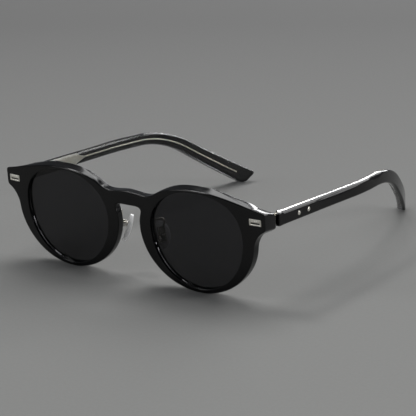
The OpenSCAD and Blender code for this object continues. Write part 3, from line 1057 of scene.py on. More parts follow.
@dataclass(frozen=True)
class ClearSilicone:
    """Soft clear silicone: milky where it is thick, with the core's rungs showing in its skin.

    Attributes:
        name: name of the material.
        colour, cloudy: its colour, and the share of it that its clouds let through.
        gloss: least and greatest roughness.
        skin: number of lumps in its skin to the metre.
        rung_m: distance of the core's rungs in metres.
        relief_mm: height of the rungs' relief.
        ior: its refraction.
        see_through: share of the light that passes straight through.
        milky_m: how far light spreads in it, in metres.
        sheen: strength of the gloss over it.
    """

    name: str = "clear_silicone_soft"
    colour: Colour = (0.99, 0.99, 0.99)
    cloudy: float = 0.95
    gloss: Point = (0.25, 0.4)
    skin: float = 900
    rung_m: float = 0.0021
    relief_mm: float = 0.12
    ior: float = 1.41
    see_through: float = 0.08
    milky_m: float = 0.006
    sheen: float = 0.8

    def build(self) -> bpy.types.Material:
        """Builds the node material.

        Returns:
            The material.
        """
        f = Finish(self.name)
        skin = f.noise(self.skin)
        turns = f.arithmetic("MULTIPLY", f.part("Z"), 2 * math.pi / self.rung_m)
        rungs = f.arithmetic("SINE", turns)
        f.surface(
            Base_Color=f.tint(skin, self.colour, tuple(self.cloudy * c for c in self.colour)),
            Roughness=f.spread(skin, *self.gloss),
            IOR=self.ior,
            Transmission_Weight=self.see_through,
            Subsurface_Weight=1.0,
            Subsurface_Radius=(1.0, 1.0, 1.0),
            Subsurface_Scale=self.milky_m,
            Coat_Weight=self.sheen,
            Coat_Roughness=0.08,
        )
        f.bump(f.arithmetic("MULTIPLY_ADD", rungs, 0.5, skin), self.relief_mm, 0.7)
        return f.material


@dataclass(frozen=True)
class StudioPaper:
    """The grey paper that the glasses stand on, with painted light and shade: lighter in front of
    them than behind.

    Attributes:
        name: name of the material.
        far, near: its colour behind the glasses and in front of them; their difference is painted
            shade and light.
        turn: degrees from the line along which the painted shade changes to the x axis.
        fade_m: where along that line the painted shade begins and ends to change, in metres.
        shades: the painted shade at these two places, from far (0) to near (1).
        grain: number of specks to the metre.
    """

    name: str = "studio_paper"
    far: Colour = (0.158, 0.158, 0.156)
    near: Colour = (0.335, 0.335, 0.325)
    turn: float = 62
    fade_m: Point = (-0.6, 0.5)
    shades: Point = (0.2, 0.75)
    grain: float = 700

    def build(self) -> bpy.types.Material:
        """Builds the node material.

        Returns:
            The material.
        """
        f = Finish(self.name)
        turned = {"Vector": f.where, "Rotation": (0, 0, math.radians(self.turn))}
        place = f.node("ShaderNodeMapping", links=turned).outputs[0]
        # Painted light and shade: the paper's colour runs from darker far behind the glasses to
        # lighter near in front of them.
        fade = f.spread(f.part("X", place), *self.shades, *self.fade_m)
        mix = f.arithmetic("MULTIPLY_ADD", f.noise(self.grain, detail=4.0), 0.06, fade)
        f.surface(
            Base_Color=f.tint(mix, self.far, self.near), Roughness=0.95, Specular_IOR_Level=0.1
        )
        return f.material


PLAQUE_METAL = Metal(
    "plaque_nickel_silver", (0.95, 0.93, 0.85), (0.88, 0.85, 0.76), (0.26, 0.4), 0.002, 0.75
)
HINGE_METAL = Metal(
    "hinge_nickel_silver", (0.8, 0.78, 0.7), (0.7, 0.67, 0.58), (0.3, 0.42), 0.0015
)
SCREW_STEEL = Metal("screw_steel", (0.7, 0.69, 0.67), (0.55, 0.54, 0.52), (0.15, 0.3))
CORE_METAL = Metal("core_cream_metal", (0.8, 0.76, 0.66), (0.66, 0.62, 0.52), (0.25, 0.42))
ARM_METAL = Metal("pad_arm_metal", (0.78, 0.75, 0.68), (0.6, 0.56, 0.48), (0.16, 0.3))


@dataclass
class Palette:
    """Every finish of the glasses, built once."""

    black: bpy.types.Material = field(default_factory=BlackAcetate().build)
    clear: bpy.types.Material = field(default_factory=ClearAcetate().build)
    lens: bpy.types.Material = field(default_factory=LensTint().build)
    plaque: bpy.types.Material = field(default_factory=PLAQUE_METAL.build)
    hinge: bpy.types.Material = field(default_factory=HINGE_METAL.build)
    screw: bpy.types.Material = field(default_factory=SCREW_STEEL.build)
    core: bpy.types.Material = field(default_factory=CORE_METAL.build)
    arm: bpy.types.Material = field(default_factory=ARM_METAL.build)
    silicone: bpy.types.Material = field(default_factory=ClearSilicone().build)

    @staticmethod
    def wear(
        obj: bpy.types.Object, material: bpy.types.Material, slot: str, body: str, node: str
    ) -> None:
        """Dresses a piece and says where it belongs.

        Args:
            obj: the piece.
            material: what it is made of.
            slot: its material slot in the record; not used.
            body: the body it rides on.
            node: the node that it stands for.
        """
        obj.data.materials.clear()
        obj.data.materials.append(material)
        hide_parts(node)
        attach(obj, body)
        log.info("%s: %d faces on %s", obj.name, len(obj.data.polygons), body)


# The front


@dataclass(frozen=True)
class Stance:
    """How the front leans and where it stands, and the hinge line that it gives.

    Attributes:
        lean: degrees that the front leans back.
        front_y: where the middle of its face meets the ground.
        wrap_r: radius of the face's wrap round the head.
        hinge_x: distance of the hinge's axis from the middle.
        hinge_v: how far it lies behind the face.
        hinge_w: how high it lies.
    """

    lean: float = 2.35
    front_y: float = -72.6551
    wrap_r: float = 1250.0
    hinge_x: float = 67.2
    hinge_v: float = 11.0
    hinge_w: float = 35.0

    def wrap(self, x: np.ndarray | float) -> np.ndarray | float:
        """How far the wrapped face lies behind its middle."""
        return x * x / (2 * self.wrap_r)

    def front(self, points: np.ndarray) -> np.ndarray:
        """Puts (x, depth behind the curved face, w) of the front into the row frame."""
        x, v, w = points.T
        return self.plain(np.stack([x, v + self.wrap(x), w], 1))

    def plain(self, points: np.ndarray) -> np.ndarray:
        """Leans the front's frame and sets it on the ground.

        Args:
            points: (x, v, w) with no wrap.

        Returns:
            The points in the row frame.
        """
        x, v, w = points.T
        c, s = math.cos(math.radians(self.lean)), math.sin(math.radians(self.lean))
        return np.stack([x, v * c - w * s + self.front_y, v * s + w * c], 1)

    def hinge(self) -> np.ndarray:
        """The middle of the hinge's axis in the row frame."""
        return self.plain(np.array([[self.hinge_x, self.hinge_v, self.hinge_w]]))[0]


@dataclass
class Front:
    """The black front: two rims, a keyhole bridge and end pieces turned back to the hinges.

    The sizes are those of the solid, with the softened edges of the polished piece.

    Attributes:
        side_x: outer side of the end pieces.
        thick: thickness of the plate.
        lens_x: middle of the lens opening.
        lens_half: half its width.
        lens_up: its height above the widest line.
        lens_down: its depth below the widest line.
        corner: fullness of the upper outer quarter.
        rim_nose, rim_side, rim_top, rim_low: width of the rim on its four sides.
        bridge_low, bridge_top: lower and upper edge of the bridge.
        bridge_dip: how far the upper edge dips beside the middle.
        crown_gap: how far from the lens opening the dip is reached.
        sweep_run, sweep_rise: how far past the opening's side, and how far over the bridge, the
            upper edge meets the rim.
        key_side: width of the rim beside the keyhole.
        key_rise, key_reach: height of the keyhole's round shoulder, and where its top is level.
        end_leave: where the end piece leaves the rim, as a share of the rim's half width.
        end_top, end_low: upper and lower corner of the end piece.
        return_t: width of the part that turns back to the hinge.
        return_v: how far it reaches behind the face.
        return_step: width of the step from the plate to it.
        return_low: how far under the end piece's lower corner it begins and is full.
        fall_from: depth where its top and bottom begin to drop.
        fall_end: how far before its end the drop is full.
        fall, sag: how far its top and its bottom drop towards the rear.
        pocket_r: radius of the hollow that clears the hinge's barrels.
        ramp_x, ramp_run: where the back begins to thicken towards the return, and over what length.
        ramp_share: how much of the return's depth the thickening reaches.
        ramp_w, ramp_clear: heights, and distances from the lens opening, over which it comes in.
        drop_w: heights over which the drop comes in.
        groove: depth of the groove that holds the lens.
        lens_set: how far the lens lies behind the face.
        lens_t: thickness of the lens.
        slack: clearance between the lens and its groove.
        front_edge, rear_edge: rounding of the edge in front and behind.
        top_edge, end_edge: rounding of the rear edge along the top and at the end piece.
        end_x: where the edges of the end piece take over from those of the rim.
        back_left: width of the flat back that is left beside a lens opening.
        brow_slope: how far the slanted facet goes in for each millimetre of depth.
        brow_deep: how deep it reaches.
        brow_reach: where it begins, is full, begins to run out, and ends.
        brow_w: heights over which it comes in.
        spacing: distance of the points along its outlines.
    """

    stance: Stance
    palette: Palette
    side_x: float = 72.5
    thick: float = 4.2
    lens_x: float = 36.25
    lens_half: float = 24.2
    lens_up: float = 18.5
    lens_down: float = 24.7
    corner: float = 2.35
    rim_nose: float = 6.1
    rim_side: float = 5.6
    rim_top: float = 2.4
    rim_low: float = 1.7
    bridge_low: float = 34.2
    bridge_top: float = 40.6
    bridge_dip: float = 0.8
    crown_gap: float = 2.2
    sweep_run: float = 7.6
    sweep_rise: float = 2.9
    key_side: float = 4.6
    key_rise: float = 3.4
    key_reach: float = 7.5
    end_leave: float = 0.37
    end_top: float = 40.6
    end_low: float = 32.9
    return_t: float = 6.9
    return_v: float = 9.9
    return_step: float = 0.5
    return_low: Point = (2.2, 1.2)
    fall_from: float = 3.4
    fall_end: float = 1.0
    fall: float = 2.6
    sag: float = 1.2
    pocket_r: float = 1.7
    ramp_x: float = 56.5
    ramp_run: float = 8.6
    ramp_share: float = 0.9
    ramp_w: Point = (33.0, 36.5)
    ramp_clear: Point = (1.0, 5.0)
    drop_w: Point = (26.0, 32.0)
    groove: float = 0.6
    lens_set: float = 1.3
    lens_t: float = 2.0
    slack: float = 0.05
    front_edge: float = 0.45
    rear_edge: float = 1.5
    top_edge: float = 0.45
    end_edge: float = 0.6
    end_x: Point = (58.0, 66.0)
    back_left: float = 0.95
    brow_slope: float = 0.32
    brow_deep: float = 4.4
    brow_reach: tuple[float, float, float, float] = (10.0, 34.0, 40.0, 66.0)
    brow_w: Point = (34.0, 38.0)
    spacing: float = 0.5

    @property
    def lens_line(self) -> float:
        """Height of the lenses' widest line."""
        return self.lens_down + self.rim_low

    @property
    def return_x(self) -> float:
        """Inner side of the part that turns back to the hinge."""
        return self.side_x - self.return_t

    @property
    def rim_half(self) -> float:
        """The rim's half width towards the temple."""
        return self.lens_half + self.rim_side

    def aperture(self, grow: float = 0.0) -> Loop:
        """Outlines the left lens opening.

        Args:
            grow: how much larger it is made all round.

        Returns:
            The outline.
        """
        half = self.lens_half + grow
        loop = oval(half, half, self.lens_up + grow, self.lens_down + grow, self.corner)
        return loop + [self.lens_x, self.lens_line]

    def rim(self) -> Loop:
        """Outlines the left rim.

        Returns:
            The outline.
        """
        up, down = self.lens_up + self.rim_top, self.lens_down + self.rim_low
        loop = oval(self.lens_half + self.rim_nose, self.rim_half, up, down, self.corner)
        return loop + [self.lens_x, self.lens_line]

    def end_piece(self) -> Loop:
        """Outlines the left end piece, from the rim's top out to the corner and back under it.

        Returns:
            The outline; its last two points are hidden in the rim.
        """
        line, side, half = self.lens_line, self.side_x, self.rim_half
        up = line + self.lens_up + self.rim_top
        out = self.lens_x + half
        leave = (self.lens_x + self.end_leave * half, up - 0.9)
        slope = (self.lens_x + 0.64 * half, up - 2.3)
        corner = (side, self.end_top)
        top = bezier([leave, slope, (side - 9, self.end_top + 1.5), corner], 24)
        under = (side, self.end_low)
        hollow = (out + 0.7, line + 2.6)
        low = bezier([under, (side - 3.4, self.end_low - 1.4), hollow, (out - 0.8, line - 4)], 16)
        hidden = [[self.lens_x + self.lens_half + 1, line], [leave[0], line + self.lens_up - 1]]
        return np.vstack([top, low, hidden])

    def bridge(self) -> Loop:
        """Outlines the left half of the bridge, with the keyhole's round shoulder under it.

        Returns:
            The outline; it reaches a little over the middle and into the rim.
        """
        gap, top, low = self.lens_x - self.lens_half, self.bridge_top, self.bridge_low
        dip = top - self.bridge_dip
        key_x = gap - self.key_side
        crown_end = (gap - self.crown_gap, dip)
        rim_end = (gap + self.sweep_run, top + self.sweep_rise)
        shoulder = (key_x, low - self.key_rise)
        crown = bezier([(0, top), (4, top), (6, dip), crown_end], 12)
        sweep = bezier([crown_end, (gap + 1, dip), (gap + 4.5, top + 1.3), rim_end], 12)
        key_end = (gap - self.key_reach, low)
        key = bezier([shoulder, (key_x, low - 1), (gap - 5, low), key_end], 12)
        hidden = [[rim_end[0], top], [gap - 1, shoulder[1]]]
        return np.vstack([crown, sweep, hidden, key, [[-0.5, low], [-0.5, top]]])

    def outline(self) -> Loop:
        """Joins the rims, the end pieces and the bridge.

        Returns:
            The whole front's outer outline, its hollow corners softened.
        """
        shapes = [self.rim(), self.end_piece(), self.bridge()]
        flip = np.array([-1.0, 1.0])
        loop = joined_outline(shapes + [s * flip for s in shapes])
        return soften(resample(loop, self.spacing), 5)

    def depth(self, x: np.ndarray, w: np.ndarray) -> np.ndarray:
        """How far back the front reaches: its thickness, or the return's length.

        Args:
            x: distance of each point from the middle.
            w: its height.

        Returns:
            The depth of the back at each point.
        """
        a = np.abs(x)
        start, full = (self.end_low - under for under in self.return_low)
        mask = smooth_step(a, self.return_x - self.return_step, self.return_x)
        mask = mask * smooth_step(w, start, full)
        deep = np.full_like(a, self.return_v - self.stance.wrap(self.side_x))
        away = np.clip(self.pocket_r**2 - (a - self.stance.hinge_x) ** 2, 0, None)
        pocket = self.stance.hinge_v - self.stance.wrap(a) - np.sqrt(away)
        deep = np.where(away > 0, np.minimum(deep, pocket), deep)
        ramp = np.clip((a - self.ramp_x) / self.ramp_run, 0, 1) * smooth_step(w, *self.ramp_w)
        ramp = self.ramp_share * ramp * smooth_step(self.clear_of_lens(a, w), *self.ramp_clear)
        return self.thick + np.maximum(mask, ramp) * (deep - self.thick)

    def clear_of_lens(self, a: np.ndarray, w: np.ndarray) -> np.ndarray:
        """About how far a point lies outside the lens opening."""
        x, y = np.abs(a - self.lens_x) / self.lens_half, np.abs(w - self.lens_line) / self.lens_up
        return 20 * ((x**self.corner + y**self.corner) ** (1 / self.corner) - 1)

    def place(self, points: np.ndarray) -> np.ndarray:
        """Drops the return's top and bottom towards its rear, then stands the front up.

        Args:
            points: (x, depth, w) of the front.

        Returns:
            The points in the row frame.
        """
        out = points.copy()
        x, d, w = points.T
        run = self.return_v - self.fall_from - self.fall_end
        back = np.clip((d - self.fall_from) / run, 0, 1)
        mask = np.clip((np.abs(x) - self.ramp_x) / (self.return_x - self.ramp_x), 0, 1)
        share = np.clip((w - self.end_low) / (self.end_top - self.end_low), 0, 1.2)
        drop = self.sag + share * (self.fall - self.sag)
        out[:, 2] = w - mask * back * drop * smooth_step(w, *self.drop_w)
        return self.stance.front(out)

    def hole_walls(self, loop: Loop) -> Rows:
        """Works out the wall of a lens opening, with the groove that holds the lens.

        Args:
            loop: the opening's outline.

        Returns:
            Rows of inset and depth, from the face to the back.
        """
        front, rear = 0.28, 0.3
        start, end = self.lens_set - self.slack, self.lens_set + self.lens_t + self.slack
        groove = [(0.0, start), (self.groove, start), (self.groove, end), (0.0, end)]
        rows = [(front + 0.1, 0 * loop[:, 0]), *rounded(front, 0.0, True, 3), *groove]
        return rows + rounded(rear, self.thick, False, 3) + [(rear + 0.2, self.thick)]

    def outer_walls(self, loop: Loop) -> Rows:
        """Works out the wall round the outside, with the slanted facet and the rounded edges.

        Args:
            loop: the front's outline.

        Returns:
            Rows of inset and depth, from the face to the back.
        """
        normal, x = outward(loop), np.abs(loop[:, 0])
        upward, ease = (0.2, 0.75), 0.04
        end_loss, brow_loss = 0.35, 0.05
        up, end = smooth_step(normal[:, 1], *upward), smooth_step(x, *self.end_x)
        brow = self.brow(x, loop[:, 1])
        front = self.front_edge * (1 - end_loss * end) - brow_loss * np.clip(brow, 0, 1)
        front = bounded(front, loop)
        rear = self.rear_edge + up * (self.top_edge - self.rear_edge)
        rear = bounded(rear + end * (self.end_edge - rear), loop)
        holes = np.vstack([self.aperture(), self.aperture() * [-1.0, 1.0]])
        width = np.linalg.norm(loop[:, None] - holes[None], axis=2).min(1)
        flat = np.minimum(soften(rear, 4), width - self.back_left)

        def cut(depth: np.ndarray) -> np.ndarray:
            """How far the slanted facet takes the wall in, easing off where it ends.

            Args:
                depth: a depth at each point.

            Returns:
                The inset at each point.
            """
            ahead = brow - depth
            eased = 0.5 * (ahead + np.sqrt(ahead * ahead + ease))
            return self.brow_slope * eased * np.clip(2 * brow, 0, 1)

        face = 0 * front
        # The face's rounded edge, the rows where the facet bends into the wall, the rear edge.
        rows = [(front + cut(face) + 0.1, face)]
        rows += [(inset + cut(depth), depth) for inset, depth in rounded(front, 0.0, True, 4)]
        stop = self.thick - rear - 0.1
        least, steps = 0.03, (-3.0, -1.8, -0.8, -0.35, -0.12, 0.12, 0.35)
        for k, step in enumerate(steps):
            low, high = front + least * (k + 1), stop - least * (len(steps) - k)
            depth = np.clip(brow + step, low, high)
            rows.append((cut(depth), depth))
        for k in range(6):
            a = math.radians(90 * k / 5)
            inset = flat * (1 - math.cos(a))
            spot = loop - normal * inset[:, None]
            depth = self.depth(spot[:, 0], spot[:, 1]) - rear * (1 - math.sin(a))
            rows.append((inset + cut(np.minimum(depth, self.thick)), depth))
        spot = loop - normal * (flat + 0.2)[:, None]
        rows.append((flat + 0.2 + cut(face + self.thick), self.depth(spot[:, 0], spot[:, 1])))
        return rows

    def brow(self, x: np.ndarray, w: np.ndarray) -> np.ndarray:
        """How deep the slanted facet along the top of each rim reaches.

        Args:
            x: distance of each point from the middle.
            w: its height.

        Returns:
            The depth, running out to nothing at both ends.
        """
        start, full, fade, end = self.brow_reach
        along = smooth_step(x, start, full) * (1 - np.clip((x - fade) / (end - fade), 0, 1))
        return self.brow_deep * along * smooth_step(w, *self.brow_w)

    def return_points(self) -> Loop:
        """Spreads close points over the back of both end pieces, where it steps.

        Returns:
            The points.
        """
        step = np.linspace(self.return_x - 0.7, self.return_x + 0.2, 4)
        across = np.concatenate([step, np.arange(66.0, self.side_x - 0.3, 0.3)])
        heights = np.arange(self.end_low - 3, self.end_top + 1.6, 0.45)
        return np.array([(s * x, w) for s in (-1, 1) for x in across for w in heights])

    def build(self) -> None:
        """Builds the front as one closed piece, then its lenses and plaques."""
        outline = self.outline()
        right = resample(self.aperture(), self.spacing)
        left = turned_ccw(right * [-1.0, 1.0])
        plate = Plate(
            outline,
            self.outer_walls(outline),
            self.depth,
            holes=[right, left],
            hole_rows=[self.hole_walls(right), self.hole_walls(left)],
            spacing=1.1,
            extra=self.return_points(),
        )
        obj = plate.meshed().write("front", self.place)
        self.palette.wear(obj, self.palette.black, "black_acetate", "front", "front_frame")
        for side in Side:
            self.lens(side)
            Plaque(self.stance, self.palette, side).build()

    def lens(self, side: Side) -> None:
        """Builds one lens: a wrapped disc with a ground edge that sits in the groove.

        Args:
            side: which lens.
        """
        loop = resample(self.aperture(self.groove - self.slack), 0.7)
        t = self.lens_t
        front_edge = [(0.5, 0.0), (0.3, 0.0), (0.05, 0.3), (0.0, 0.5)]
        rear_edge = [(inset, t - depth) for inset, depth in reversed(front_edge)]
        mesher = Plate(loop, front_edge + rear_edge, level(t), spacing=1.8).meshed()
        mesher.points[0][:, 1] += self.lens_set
        obj = mesher.write(f"{side.word}_lens_disc", self.stance.front, side)
        self.palette.wear(obj, self.palette.lens, "lens_tint", "front", f"{side.word}_lens")


@dataclass
class Plaque:
    """One plaque: a small plate with a raised border, a domed bar and a slot, on two studs.

    Attributes:
        x, w: where its middle sits on the face.
        length, height, thick: its sizes.
        proud: how far it stands out of the face.
        corner: radius of its corners.
        sunk: how deep the field inside the border is sunk.
        border: where the border begins and stops falling to the field, from the edge.
        bar_half: half the width of the bar, whose lower side is the plate's middle line.
        slot_w, slot_half: height of the slot's middle and half its width.
        slot_deep: how far it is cut below the field.
        ends_x: where the bar and the slot end.
        stud_r, stud_end, stud_edge: radius, length and broken edge of a stud.
    """

    stance: Stance
    palette: Palette
    side: Side
    x: float = 67.6
    w: float = 36.4
    length: float = 6.0
    height: float = 3.0
    thick: float = 0.55
    proud: float = 0.2
    corner: float = 0.4
    sunk: float = 0.14
    border: Point = (0.42, 0.62)
    bar_half: float = 0.42
    slot_w: float = -0.38
    slot_half: float = 0.3
    slot_deep: float = 0.3
    ends_x: float = 2.3
    stud_r: float = 0.5
    stud_end: float = 2.4
    stud_edge: float = 0.1

    def outline(self) -> Loop:
        """Outlines the plate with its four round corners.

        Returns:
            The outline.
        """
        r, across, up = self.corner, self.length / 2 - self.corner, self.height / 2 - self.corner
        spots = ((1, 1, 0), (-1, 1, 90), (-1, -1, 180), (1, -1, 270))
        rounds = [arc((sx * across, sw * up), r, a, a + 90, 8) for sx, sw, a in spots]
        return resample(np.vstack(rounds), 0.1)

    def relief(self, x: np.ndarray, w: np.ndarray) -> np.ndarray:
        """Works out the face: the sunk field, its slot, and the domed bar above it.

        Args:
            x: distance of each point from the plaque's middle.
            w: its height over the middle.

        Returns:
            The depth of the face at each point.
        """
        inset = np.minimum(self.length / 2 - np.abs(x), self.height / 2 - np.abs(w))
        ends = smooth_step(self.ends_x - np.abs(x), 0, 0.2)
        across_bar = (w - self.bar_half) / self.bar_half
        bar = np.sqrt(np.clip(1 - across_bar**2, 0, 1)) * ends
        slot = np.clip(1 - ((w - self.slot_w) / self.slot_half) ** 2, 0, 1) * ends
        depth = self.sunk - self.sunk * bar + self.slot_deep * slot
        return smooth_step(inset, *self.border) * depth

    def place(self, points: np.ndarray) -> np.ndarray:
        """Turns the plaque with the wrap of the face and sets it in the end piece.

        Args:
            points: (x, depth, w) from the plaque's middle.

        Returns:
            The points in the row frame.
        """
        px, pv, pw = points.T
        turn = math.asin(self.x / self.stance.wrap_r)
        c, s = math.cos(turn), math.sin(turn)
        v = pv - self.proud
        x, depth = self.x + px * c - v * s, self.stance.wrap(self.x) + px * s + v * c
        return self.stance.plain(np.stack([x, depth, self.w + pw], 1))

    def build(self) -> None:
        """Builds the plaque and its studs as one piece."""
        t, r, end, edge = self.thick, self.stud_r, self.stud_end, self.stud_edge
        soft_edge = [(0.25, 0.0), (0.15, 0.03), (0.06, 0.09), (0.0, 0.18)]
        rows = [*soft_edge, (0.0, t), (0.1, t)]
        mesher = Plate(self.outline(), rows, level(t), self.relief, spacing=0.09).meshed()
        root = t - 0.1
        profile = [(0, root), (r, root), (r, end - edge), (r - 0.08, end), (0, end)]
        for way in (-1, 1):
            points, faces = lathe(profile, 24)
            mesher.add(points[:, [0, 2, 1]] + [way * self.length / 4, 0, 0], faces)
        word = self.side.word
        obj = mesher.write(f"{word}_plaque", self.place, self.side, 30)
        node = f"{word}_front_plaque"
        self.palette.wear(obj, self.palette.plaque, "plaque_metal", "front", node)


# The temples


@dataclass(frozen=True)
class Rounding:
    """How far the hand-shaped rounding of a temple's edges reaches at one place.

    Attributes:
        at: how far behind the hinge the place lies.
        top: reach down the face from the top edge.
        low: reach up the face from the lower edge.
        deep: reach in depth.
    """

    at: float
    top: float
    low: float
    deep: float


@dataclass
class Temple:
    """One temple: black outer and clear inner layer, with the core wire and the rivets.

    Attributes:
        side_x: outer face of the temple.
        thick: thickness of both layers together.
        outer: thickness of the black layer.
        lap: how far the clear layer's outer face reaches into the black one.
        start, mouth: where the black and the clear layer begin, along the path from the hinge.
        heights: height of the temple at the hinge, at the bend's start and at its end.
        flare: how much the height grows for each millimetre behind the bend.
        reach: length of the straight part before the bend over the ear.
        bend_r: radius of the bend.
        fall, tip_fall: degrees that the temple falls before and after the bend.
        bow_start, bow_r: where the bow towards the head begins, and its radius.
        foot: length of the flat that stands on the ground.
        tip_rise: degrees that the end's rear edge rises.
        tip_r, heel_r: radius of the end's upper and lower corners.
        wire_h, wire_t, wire_corner: height, thickness and corner radius of the core wire.
        wire_depth: how far it lies below the outer face.
        wire_short: how far it stops before the end.
        blade_end: where the hinge's blade ends and the wire begins.
        rivet_at, rivet_pitch: where the first rivet sits, and how far on the second one.
        rivet_r, rivet_proud: radius and height of a rivet's head.
        shank_r, shank_end: radius and length of its shank.
        black_rounds, clear_rounds: how the edges of each layer are rounded.
    """

    side: Side
    stance: Stance
    palette: Palette
    side_x: float = 72.5
    thick: float = 4.0
    outer: float = 1.8
    lap: float = 0.05
    start: float = 1.1
    mouth: float = 3.6
    heights: tuple[float, float, float] = (5.7, 5.5, 6.3)
    flare: float = 0.03
    reach: float = 80.0
    bend_r: float = 49.0
    fall: float = 2.4
    tip_fall: float = 35.8
    bow_start: float = 56.6
    bow_r: float = 141.0
    foot: float = 2.0
    tip_rise: float = 49.0
    tip_r: float = 1.3
    heel_r: float = 1.0
    wire_h: float = 0.64
    wire_t: float = 1.1
    wire_corner: float = 0.22
    wire_depth: float = 2.3
    wire_short: float = 5.0
    blade_end: float = 40.0
    rivet_at: float = 15.4
    rivet_pitch: float = 7.0
    rivet_r: float = 0.95
    rivet_proud: float = 0.3
    shank_r: float = 0.6
    shank_end: float = 3.2
    black_rounds: tuple[Rounding, ...] = (
        Rounding(0, 1.3, 0.5, 1.35),
        Rounding(28, 1.3, 0.8, 1.4),
        Rounding(33, 2.6, 0.9, 1.45),
        Rounding(46, 3.2, 0.9, 1.5),
        Rounding(56, 2.0, 0.9, 1.3),
        Rounding(62, 0.8, 0.9, 1.2),
        Rounding(71, 0.8, 0.9, 1.2),
        Rounding(74, 2.8, 0.9, 1.5),
        Rounding(79, 2.8, 0.9, 1.5),
        Rounding(83, 0.9, 0.9, 1.0),
        Rounding(140, 0.9, 0.9, 0.9),
    )
    clear_rounds: tuple[Rounding, ...] = (
        Rounding(0, 1.1, 0.5, 1.2),
        Rounding(25, 1.1, 0.7, 1.3),
        Rounding(38, 0.9, 0.9, 1.5),
        Rounding(140, 1.0, 0.9, 1.5),
    )

    @property
    def body(self) -> str:
        """The CAD body that the temple's pieces ride on."""
        return f"{self.side.word}_temple"

    @property
    def bend_end(self) -> float:
        """Length of the path at the end of the bend over the ear."""
        return self.reach + self.bend_r * math.radians(self.tip_fall - self.fall)

    def path(self, s: float) -> np.ndarray:
        """Follows the side path: straight, bent over the ear, and straight again.

        Args:
            s: length along it from the hinge.

        Returns:
            The point (y, z).
        """
        f, e = math.radians(self.fall), math.radians(self.tip_fall)
        if s < self.reach:
            return np.array([s * math.cos(f), -s * math.sin(f)])
        h = f + (min(s, self.bend_end) - self.reach) / self.bend_r
        point = np.array([self.reach * math.cos(f), -self.reach * math.sin(f)])
        point += self.bend_r * np.array([math.sin(h) - math.sin(f), math.cos(h) - math.cos(f)])
        return point + max(s - self.bend_end, 0) * np.array([math.cos(e), -math.sin(e)])

    def up(self, s: float) -> np.ndarray:
        """Finds the direction across the path.

        Args:
            s: length along the path.

        Returns:
            The direction (y, z), upward.
        """
        turn = min(max((s - self.reach) / self.bend_r, 0), math.radians(self.tip_fall - self.fall))
        h = math.radians(self.fall) + turn
        return np.array([math.sin(h), math.cos(h)])

    def half(self, s: float) -> float:
        """Works out half the temple's height.

        Args:
            s: length along the path.

        Returns:
            Half the height there.
        """
        past = max(s - self.bend_end, 0)
        marks, halves = [0, self.reach, self.bend_end], [h / 2 for h in self.heights]
        return float(np.interp(s, marks, halves)) + self.flare * past / 2

    def edge(self, s: float, way: int) -> np.ndarray:
        """The point of the top (1) or lower (-1) edge at a length along the path."""
        return self.path(s) + way * self.half(s) * self.up(s)

    def heel_run(self) -> float:
        """Length along the path from the end of the bend to where the lower edge meets the ground."""
        low, ahead = self.edge(self.bend_end, -1), self.edge(self.bend_end + 1, -1)
        return (low[1] + self.stance.hinge()[2]) / (low[1] - ahead[1])

    def outline(self, start: float) -> Loop:
        """Outlines the temple from the side.

        Args:
            start: length along the path where it begins.

        Returns:
            The outline in (y, z) from the hinge.
        """
        end = self.bend_end
        marks = np.concatenate([np.arange(start, end, 1.0), [end]])
        top = np.array([self.edge(s, 1) for s in marks])
        low = np.array([self.edge(s, -1) for s in marks])
        heel = self.edge(end + self.heel_run(), -1)
        foot = heel + [self.foot, 0]
        # The tip is where the end's rear edge, which rises from the foot, meets the top edge.
        slope = math.radians(self.tip_rise)
        rise = np.array([math.cos(slope), math.sin(slope)])
        along, gap = self.edge(end + 1, 1) - top[-1], top[-1] - foot
        share = (gap[0] * along[1] - gap[1] * along[0]) / (rise[0] * along[1] - rise[1] * along[0])
        tip = foot + share * rise
        corners = [
            fillet(tip, top[-1], foot, self.tip_r, 12),
            fillet(foot, tip, heel, self.heel_r, 6),
            fillet(heel, foot, low[-1], self.heel_r, 6),
        ]
        return turned_ccw(np.vstack([top, *corners, low[::-1]]))

    def place(self, points: np.ndarray) -> np.ndarray:
        """Bows the temple inward and puts it at its hinge.

        Args:
            points: (y, depth below the outer face, z) from the hinge.

        Returns:
            The points in the row frame, for the left temple.
        """
        y, d, z = points.T
        over = np.clip(y - self.bow_start, 0, None)
        x = self.side_x - self.bow_r + np.sqrt((self.bow_r - d) ** 2 - over**2)
        hinge = self.stance.hinge()
        return np.stack([x, y + hinge[1], z + hinge[2]], 1)

    def edges(self, loop: Loop, rounds: Sequence[Rounding]) -> tuple[np.ndarray, np.ndarray]:
        """How far the hand-shaped rounding reaches along an outline.

        Args:
            loop: the outline.
            rounds: the rounding at some places behind the hinge.

        Returns:
            The reach down the face and the reach in depth at each point.
        """
        y, z = loop.T
        marks = [r.at for r in rounds]
        top = np.interp(y, marks, [r.top for r in rounds])
        low = np.interp(y, marks, [r.low for r in rounds])
        deep = np.interp(y, marks, [r.deep for r in rounds])
        spine = np.array([self.path(s) for s in np.arange(0.0, 150.0, 2.0)])
        above = z > np.interp(y, spine[:, 0], spine[:, 1])
        wanted = soften(np.where(above, top, low), 6)
        reach = bounded(wanted, loop)
        return reach, deep * np.clip(reach / wanted, 0, 1)

